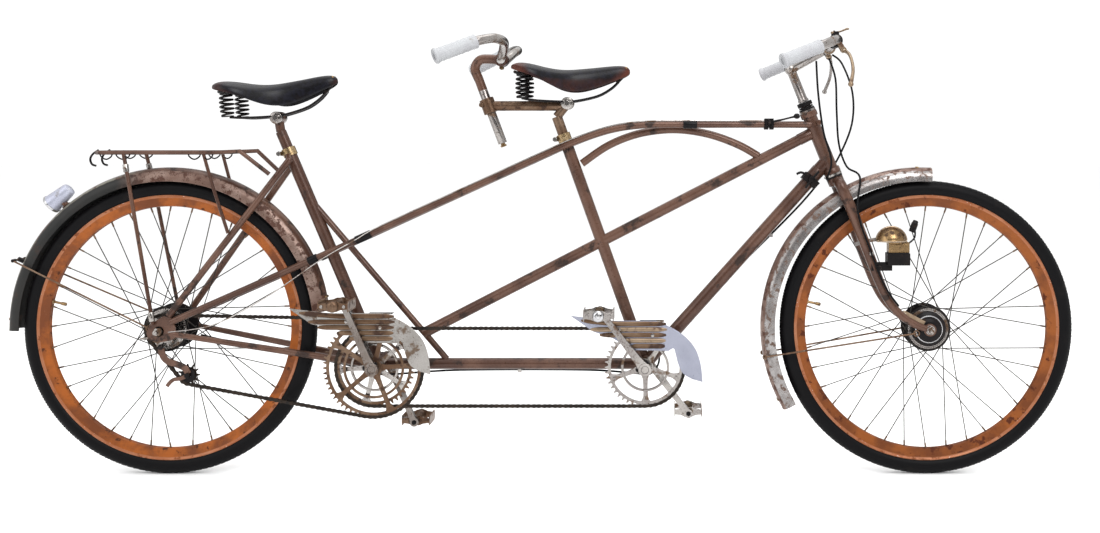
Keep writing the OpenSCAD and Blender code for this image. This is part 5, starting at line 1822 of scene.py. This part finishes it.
@dataclass
class Saddle:
    """Leather saddle stretched over a wire frame, with rear coil springs and a clamp."""

    kind: SaddleKind
    clamp: Vector
    tilt: float
    stations: tuple = ((-133, 58, 90, 84), (-127, 78, 95, 79), (-117, 91, 98.5, 75),
        (-104, 99, 99.5, 71), (-80, 101, 96, 64), (-55, 91, 89, 52), (-19, 60, 83, 31),
        (10, 42, 83, 25), (35, 34, 84, 26), (60, 29, 86, 32), (88, 26, 89, 41), (120, 23, 92, 54),
        (140, 18, 91, 62), (149, 11, 86, 68), (152, 5, 80, 71))

    def placed(self, p: Vector) -> Vector:
        """Turns a point of the saddle by its tilt and puts it in place. Args: p. Returns: it."""
        return self.clamp + Matrix.Rotation(radians(self.tilt), 3, Y_AXIS) @ p

    def section(self, station: tuple[float, float, float, float], inset: float) -> list[Vector]:
        """Half ring of the leather from one skirt over the top to the other.

        Args:
            station: X, half width, top and skirt.
            inset: how far inside the outer face.
        Returns:
            Its points.
        """
        x, w, top, skirt = station
        w, top = max(w - inset, 1.0), top - inset
        out = []
        for k in range(15):
            a = radians(-90 + 180 * k / 14)
            y = w * copysign(abs(sin(a)) ** 0.82, sin(a))
            pull = 1.6 * cos(a) ** 8 if x < 20 else 0.0
            out.append(Vector((x, y, skirt + (top - skirt) * max(cos(a), 0.0) ** 0.52 - pull)))
        return out

    def build(self) -> None:
        """Builds the leather, rivets, wires, springs and clamp."""
        name, body = self.kind.value + "_saddle", self.kind.value + "_seat"
        shell = Shape()
        rings = []
        for station in self.stations:
            outer = self.section(station, 0.0)
            inner = self.section(station, 4.2)
            rings.append(outer + [p + Vector((0, 0, 1.2)) if i in (0, 14) else p
                for i, p in reversed(list(enumerate(inner)))])
        shell.loft(rings).moved(self.placed)
        leather = Leather(name + "_hide", self.clamp * MM, -0.128, 0.118,
            edge=1.0 if self.kind is SaddleKind.CAPTAIN else 0.55)
        shell.piece(name + "_leather", leather, body, [name], "saddle_leather", subdivide=2)
        self.rivets(name, body)
        self.wires(name, body)

    def rivets(self, name: str, body: str) -> None:
        """Domed rivets round the tail and at the nose. Args: name, body."""
        shape = Shape()
        for t in (-0.92, -0.6, -0.22, 0.22, 0.6, 0.92):
            shape.ball((-127 + 21 * abs(t) ** 2.2, 80 * t, 92.4 - 5.0 * t * t), 4.6, 14,
                (0.7, 0.9, 0.7))
        for y in (-9, 9):
            shape.ball((143, y, 86), 3.6, 12, (0.8, 0.8, 0.8))
        shape.moved(self.placed)
        shape.piece(name + "_rivets", BRASS, body)

    def wires(self, name: str, body: str) -> None:
        """Rails, cantle plate, nose bridge, coil springs and clamp. Args: name, body."""
        wire, spring, clamp = Shape(), Shape(), Shape()
        for s in SIDES:
            for gap in (-5.2, 5.2):
                rail = curve_through([(-100, s * (46 + gap), 10), (-70, s * (38 + gap), 6),
                    (-18, s * (20 + gap * 0.5), 4), (18, s * (15 + gap * 0.5), 5),
                    (72, s * (11 + gap * 0.4), 17), (104, s * (8.5 + gap * 0.3), 34),
                    (122, s * (7 + gap * 0.2), 50)], 5)
                wire.tube(rail, 2.9, 10)
            spring.coil((-104, s * 52, 14), (0, 0, 1), lambda t: 15.2 - 2.6 * abs(2 * t - 1) ** 2,
                53, 5.0, 2.6, 8)
            for z in (12.5, 66.5):
                spring.rod((-104, s * 52, z - 1.2), (-104, s * 52, z + 1.2), 14.5, 0.8, 26)
            clamp.rod((0, s * 11.3, 0), (0, s * 23, 0), 15, 1.4, 30)
            clamp.hexagon((0, s * 23, 0), (0, s, 0), 8.4, 5.2)
        cantle = curve_through([(-98, -72, 70), (-118, -56, 72), (-126, -24, 76), (-126, 24, 76),
            (-118, 56, 72), (-98, 72, 70)], 5)
        wire.tube(cantle, 3.6, 10)
        wire.tube([(122, -8, 52), (122, 8, 52)], 4.4, 12)
        wire.tube([(122, 0, 52), (136, 0, 66), (142, 0, 76)], 3.8, 12)
        for shape in (wire, spring, clamp):
            shape.moved(self.placed)
        wire.piece(name + "_rails", BLACK, body)
        spring.piece(name + "_springs", BLACK, body)
        clamp.piece(name + "_clamp", PLATING, body, bevel=0.4)


@dataclass
class ForkUnit:
    """Domed unit on the chain side blade, on its black bracket with a plated box."""

    at: Vector
    body: str = "steering"

    def build(self) -> None:
        """Builds the dome, strap, box, lower body, foot and head."""
        x, y, z = self.at
        profile = [(0.2, 35.4), (0.2, 36.0), (2, 36.2), (3, 35.6)]
        profile += [(3 + 32.4 * sin(radians(a)), 35.4 * cos(radians(a))) for a in range(8, 90, 8)]
        profile.append((35.4, 0.01))
        shell = Shape().turned((x, y, z + 0.4), (0, 0, 1), [(0.2, 0.01)] + profile, 56)
        shell.piece("unit_dome", BRASS, self.body, ["fork_lamp"], "brass")
        strap = Shape()
        arc = [Vector((x + 36.4 * cos(radians(a)), y, z + 2 + 34.0 * sin(radians(a))))
            for a in range(4, 177, 8)]
        strap.tube([p - Y_AXIS * 6 for p in arc], 2.2, 8)
        strap.washer((x, y, z + 0.8), (0, 0, 1), 35.8, 37.4, 3.2, 56)
        for a in (205, 270, 335):
            p = Vector((x + 37 * cos(radians(a)), y + 37 * sin(radians(a)), z + 2.4))
            strap.ball(p, 2.6, 12)
        strap.piece("unit_strap", BEIGE, self.body)
        box = Shape().block((x + 17, y, z - 13), (50, 30, 25))
        box.block((x + 17, y, z - 13), (42, 31.6, 17))
        box.piece("unit_box", BRASS, self.body, bevel=1.6)
        lower = Shape().block((x + 16, y, z - 41), (54, 34, 29))
        lower.block((x + 16, y, z - 27.4), (50, 30, 3))
        lower.block((x - 23, y, z - 59), (50, 14, 20))
        lower.rod((x - 30, y - 10, z - 62), (x - 30, y + 8, z - 62), 6, 0.8, 20)
        lower.hexagon((x - 30, y - 10, z - 62), (0, -1, 0), 6.4, 4)
        lower.piece("unit_lower_body", BLACK, self.body, bevel=1.4)
        axis = around(ORIGIN, 1, radians(70))
        head = Shape().turned(Vector((x + 55, y, z + 37)) - axis * 15, axis,
            [(0, 0.01), (0, 6.5), (1.4, 8), (22, 8), (23.4, 6.8), (28, 6.2), (29.4, 4.8),
            (30, 0.01)], 30)
        head.tube(curve_through([(x + 40, y - 8, z - 4), (x + 54, y - 6, z + 8),
            (x + 57, y - 4, z + 22), (x + 55, y, z + 34)], 5), 2.2, 9)
        head.piece("unit_head", BLACK, self.body)
        strap_in = Shape().bar([(x - 86, z - 7), (x - 60, z + 2), (x - 36, z + 5)], y + 2, 9, 3)
        strap_in.piece("unit_bracket", PLATING, self.body, bevel=0.5)


@dataclass
class Controls:
    """Gear lever on the lateral tube, clamp on the down tube, and the clips of the cables."""

    layout: Layout

    def build(self) -> None:
        """Builds the levers and clamps."""
        gear = self.layout.gear
        clamp = Shape()
        for x in (540.5, 553.5):
            clamp.washer((x, -17.4, 847.6), (1, 0, 0), 8.4, 12.6, 10, 32)
        clamp.block((552, -25, 851), (22, 8, 22))
        clamp.rod((552, -43, 852), (552, -28, 852), 2.9, 0.4, 16)
        clamp.hexagon((552, -38.4, 852), (0, -1, 0), 6, 4.4)
        tilt = Matrix.Rotation(radians(-47), 3, Y_AXIS)
        clamp.block((654, 0, 712), (20, 44, 40), tilt)
        clamp.rod((654, -30, 716), (654, 30, 716), 4.2, 0.6, 18)
        clamp.hexagon((654, -26, 716), (0, -1, 0), 7, 5)
        clamp.tube(curve_through([(640, -28, 728), (628, -30, 732), (618, -31, 728)], 4), 3.0, 10)
        clamp.tube([(640, -27, 694), (652, -28, 712), (672, -27, 734)], 3.0, 10)
        clamp.piece("lever_clamp_blocks", BLACK, "frame", ["lever_clamps"], "black_paint",
            bevel=0.8)
        lever = Shape().turned((gear.x, -30.6, gear.z), (0, -1, 0),
            [(0, 3.1), (0, 9.4), (1, 10), (6.4, 10), (7.4, 9), (7.4, 3.1)], 34, closed=True)
        lever.tube([(560, -34.2, 854), (585, -34.2, 859.5), (604, -34.2, 864.4),
            (613, -34.2, 866.4)], [3.2, 2.2, 2.2, 2.8], 14)
        lever.ball((618, -34.2, 867.5), 7.4, 22, (1.05, 0.9, 0.9))
        lever.piece("gear_lever_arm", BLACK, "gear", ["gear_lever"], "black_paint")


@dataclass
class Cables:
    """The covered control cables and their clips."""

    radius: float = 2.5
    fork: tuple = ((706, 40, 1012), (722, 40, 960), (724, 34, 880), (728, 24, 800), (746, 16, 745),
        (772, -22, 720), (760, -62, 640), (792, -68, 540), (824, -66, 462), (858, -60, 414))
    gear: tuple = ((664, -40, 1000), (668, -46, 920), (680, -50, 830), (700, -44, 760),
        (690, -30, 715))
    loop: tuple = ((723, 102, 1025), (748, 104, 1002), (770, 80, 930), (764, 50, 850),
        (730, 34, 770), (694, 28, 715))
    hub: tuple = ((676, 26, 702), (618, 24, 636), (460, 22, 478), (308, 26, 326), (290, 28, 292),
        (284, 28, 258), (262, 28, 234), (222, 25, 238), (100, 24, 246), (-200, 22, 246),
        (-350, 26, 236), (-396, 31, 234), (-440, 38, 246), (-560, 52, 268), (-760, 64, 304),
        (-852, 60, 326))

    wire: tuple = ((540, -24, 856.4), (450, -25, 856.6), (310, -26, 856.6), (235, -27, 854.2),
        (175, -27, 845.6), (115, -27, 827.6), (40, -27, 797.6), (-180, -38, 697), (-380, -50, 605),
        (-440, -56, 571), (-520, -66, 524), (-640, -84, 440), (-760, -97, 376), (-868, -99, 358))
    bands: tuple = (((345, -22.6, 847.5), (378, -21.8, 847.5), 9.8),
        ((345, 22.6, 847.5), (378, 21.8, 847.5), 9.8), ((-440, -46.2, 569.1), (-404, -44.1, 585.3),
        10.0), ((-552, -52.9, 519.6), (-530, -51.5, 529.3), 10.0),
        ((-552, 52.9, 519.6), (-530, 51.5, 529.3), 10.0))

    def build(self) -> None:
        """Builds the cables; the two from the bar to the frame are taken off the steering and left
        unparented.
        """
        down = Shape().tube(curve_through(self.fork, 6), self.radius, 10)
        down.piece("fork_cable_cover", CABLE, "steering", ["fork_cable"], "cable_cover")
        rear = Shape().tube(curve_through(self.hub, 5), self.radius, 10)
        rear.piece("frame_cable_cover", CABLE, "frame", ["frame_cable"], "cable_cover")
        for name, route, nodes in (("gear_cable_cover", self.gear, ["bar_cables"]),
                ("loop_cable_cover", self.loop, [])):
            made = Shape().tube(curve_through(route, 6), self.radius, 10).piece(name, CABLE,
                "steering", nodes, "cable_cover")
            self.bend_with_steering(made)
        clips = Shape()
        for at in ((-54.5, 22, 246), (-300, 23, 242), (460, 22, 478), (560, 23, 577)):
            clips.block(Vector(at) - Y_AXIS * 5, (9, 12, 8))
        clips.piece("cable_clips", PLATING, "frame", bevel=0.6)
        fork_clip = Shape().block((792, -63, 540), (9, 12, 8))
        fork_clip.piece("fork_cable_clip", PLATING, "steering", bevel=0.6)
        self.wire_to_hub()

    def wire_to_hub(self) -> None:
        """Gear wire along the near lateral tube and down to the rear hub, with its bands."""
        wire = Shape().tube(curve_through(self.wire, 6), 1.3, 8)
        wire.piece("gear_wire", PLATING, "frame")
        bands = Shape()
        for at, toward, radius in self.bands:
            bands.rod(at, toward, radius, 0.9, 22)
        bands.piece("tube_bands", BLACK, "frame", bevel=0.3)

    def bend_with_steering(self, made: bpy.types.Object) -> None:
        """Takes a cable off its body and bakes its placement into its mesh. Args: made: the cable.
        """
        made.parent = None
        made.matrix_world = Matrix.Identity(4)
        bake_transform(made)


# ---------------------------------------------------------------- stage

@dataclass
class Stage:
    """Pale floor, soft studio lights and the camera."""

    camera_at: tuple = (0.2888, -2.9, 0.8101)
    lens: float = 38.98
    sensor: float = 36.0
    shift: tuple = (-0.1, -0.115)
    floor_sides: int = 96
    floor_reach: float = 40.0
    card_y: float = 6.0
    card_half: float = 7.0
    card_heights: tuple = (0.3, 3.2)

    def build(self) -> None:
        """Builds the floor, the lights, the surroundings and the camera."""
        bpy.context.scene.view_settings.view_transform = "Standard"
        self.floor()
        self.cards()
        self.surroundings()
        for name, at, size, power in (("key", (1.6, -3.4, 3.6), 2.6, 150),
                ("fill", (-3.2, -2.6, 2.2), 3.0, 50), ("top", (0.0, 0.4, 4.2), 3.6, 90)):
            self.light(name, at, size, power)
        camera = bpy.data.cameras.new("camera")
        camera.lens, camera.sensor_width = self.lens, self.sensor
        camera.shift_x, camera.shift_y = self.shift
        camera.clip_start, camera.clip_end = 0.05, 100
        holder = bpy.data.objects.new("camera", camera)
        holder.location = self.camera_at
        holder.rotation_euler = (pi / 2, 0, 0)
        bpy.context.scene.collection.objects.link(holder)
        bpy.context.scene.camera = holder

    def floor(self) -> None:
        """Pale paper floor that fades into the surroundings at its round edge."""
        edge = [Vector((cos(a), sin(a), 0)) * self.floor_reach for a in circle(self.floor_sides)]
        mesh = bpy.data.meshes.new("floor")
        mesh.from_pydata(edge, [], [tuple(range(self.floor_sides))])
        floor = bpy.data.objects.new("floor", mesh)
        bpy.context.scene.collection.objects.link(floor)
        paint = Paint("floor_paper")
        mist = paint.noise(3, 2)
        mesh.materials.append(paint.surface(paint.mix(mist, (0.92, 0.92, 0.92), (0.94, 0.94, 0.94)),
            0.8, 0.0))

    def cards(self) -> None:
        """Dark cards out of sight, before and behind the bicycle, for the metal's contrast."""
        for side in SIDES:
            y = side * self.card_y
            card = Shape().loft([[Vector((x, y, z)) for x in (-self.card_half, self.card_half)]
                for z in self.card_heights], closed=False, caps=False)
            mesh = bpy.data.meshes.new("card")
            mesh.from_pydata([tuple(p) for p in card.points], [], card.faces)
            made = bpy.data.objects.new("card_front" if side < 0 else "card_back", mesh)
            bpy.context.scene.collection.objects.link(made)
            paint = Paint("card_felt")
            mesh.materials.append(paint.surface(paint.mix(paint.noise(8, 2), (0.02, 0.02, 0.02),
                (0.03, 0.03, 0.03)), 0.9, 0.0))
            made.visible_camera = made.visible_shadow = made.visible_diffuse = False

    @staticmethod
    def surroundings() -> None:
        """Even, pale light from all round."""
        world = bpy.data.worlds.new("studio")
        world.use_nodes = True
        background = world.node_tree.nodes["Background"]
        background.inputs["Color"].default_value = (1.0, 1.0, 1.0, 1.0)
        background.inputs["Strength"].default_value = 1.08
        bpy.context.scene.world = world

    @staticmethod
    def light(name: str, at: Point, size: float, power: float) -> None:
        """One square light aimed at the bicycle's middle. Args: name, at, size, power."""
        lamp = bpy.data.lights.new(name, "AREA")
        lamp.energy, lamp.size = power, size
        holder = bpy.data.objects.new(name, lamp)
        holder.location = at
        aim = Vector((0, 0, 0.5)) - Vector(at)
        holder.rotation_euler = aim.to_track_quat("-Z", "Y").to_euler()
        bpy.context.scene.collection.objects.link(holder)


# ---------------------------------------------------------------- the bicycle

def wheels_and_guards(layout: Layout) -> list:
    """The wheels and mudguards. Args: layout. Returns: their builders."""
    front, rear = layout.front_hub, layout.rear_hub
    return [Wheel("front", "front_wheel", front, 26.0, RIM_PAINT),
        Wheel("rear", "rear_wheel", rear, 30.0, REAR_RIM),
        Mudguard("rear_mudguard", "frame", rear + Vector((-2, 0, 0)), 6, 181,
        rear + Vector((-369, -31.6, 163.5)), rear + Vector((-26, -66, 6)), FRAME_PAINT, CHIPPED,
        "mudguard_paint", True), Mudguard("front_mudguard", "steering", front + Vector((-14, 0, 0)),
        86, 211, front + Vector((-393.8, -31.6, -68.5)), front + Vector((-32, -50.6, -8)), CHIPPED,
        SILVERED, "worn_plating")]


def drive_train(layout: Layout) -> list:
    """Rings, cranks, pedals, chains and guards. Args: layout. Returns: their builders."""
    captain, stoker = layout.captain_axle, layout.stoker_axle
    timing, driven = layout.ring_radius(46), layout.ring_radius(58)
    cranks = [Crankset("captain", "captain_crankset", captain, 127.5, 0),
        Crankset("stoker", "stoker_crankset", stoker, 113.5, 1)]
    pedals = []
    for rider, barrel, plates in (("captain", BRASS, PLATING), ("stoker", RUSTED, RUSTED)):
        for side, word in WORDS:
            eye = joint_place(f"{rider}_pedal_{word}_spin")
            pedals.append(Pedal(f"{rider}_pedal_{word}", f"{rider}_pedal_{word[0]}", eye, side,
                barrel, plates))
    trims = [RingTrim("captain_timing", "captain_crankset", captain, layout.timing_y, timing, 55,
        PLATING), RingTrim("stoker_timing", "stoker_crankset", stoker, layout.timing_y, timing, 40,
        PLATING), RingTrim("stoker_drive", "stoker_crankset", stoker, layout.drive_y, driven, 4,
        RUSTED)]
    chains = [ChainRun("timing_chain", [(stoker, timing), (captain, timing)], layout.timing_y),
        ChainRun("drive_chain", [(layout.rear_hub, layout.ring_radius(18)), (stoker, driven),
        (layout.pulley, layout.ring_radius(11))], layout.drive_y)]
    guards = [ChainGuard("captain_chainguard", captain, -178, 114, -65.6, GUARD_PAINT, FIN_BLUE,
        BEIGE), ChainGuard("stoker_chainguard", stoker, -202, 132, -65.6, GUARD_PAINT, FIN_SILVER,
        GUARD_PAINT)]
    return cranks + pedals + trims + chains + guards + [Tensioner(layout)]


def main() -> None:
    """Builds the stage and the bicycle, piece by piece."""
    Stage().build()
    layout = Layout()
    builders = wheels_and_guards(layout) + [FrameTubes(layout),
        Carrier(layout)] + drive_train(layout)
    builders += [Fork(layout), CaptainBars(layout), ForkUnit(Vector((841, -52, 567))),
        Controls(layout), Cables(), StokerBars(Vector((-128, 0, 893)),
        Vector((-70, 0, 188)).normalized()), Saddle(SaddleKind.CAPTAIN, Vector((64, 0, 899)), 0.0),
        Saddle(SaddleKind.STOKER, Vector((-640, 0, 864)), -5.4)]
    for builder in builders:
        LOG.info("building %s", type(builder).__name__)
        builder.build()
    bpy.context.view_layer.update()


if __name__ == "__main__":
    main()
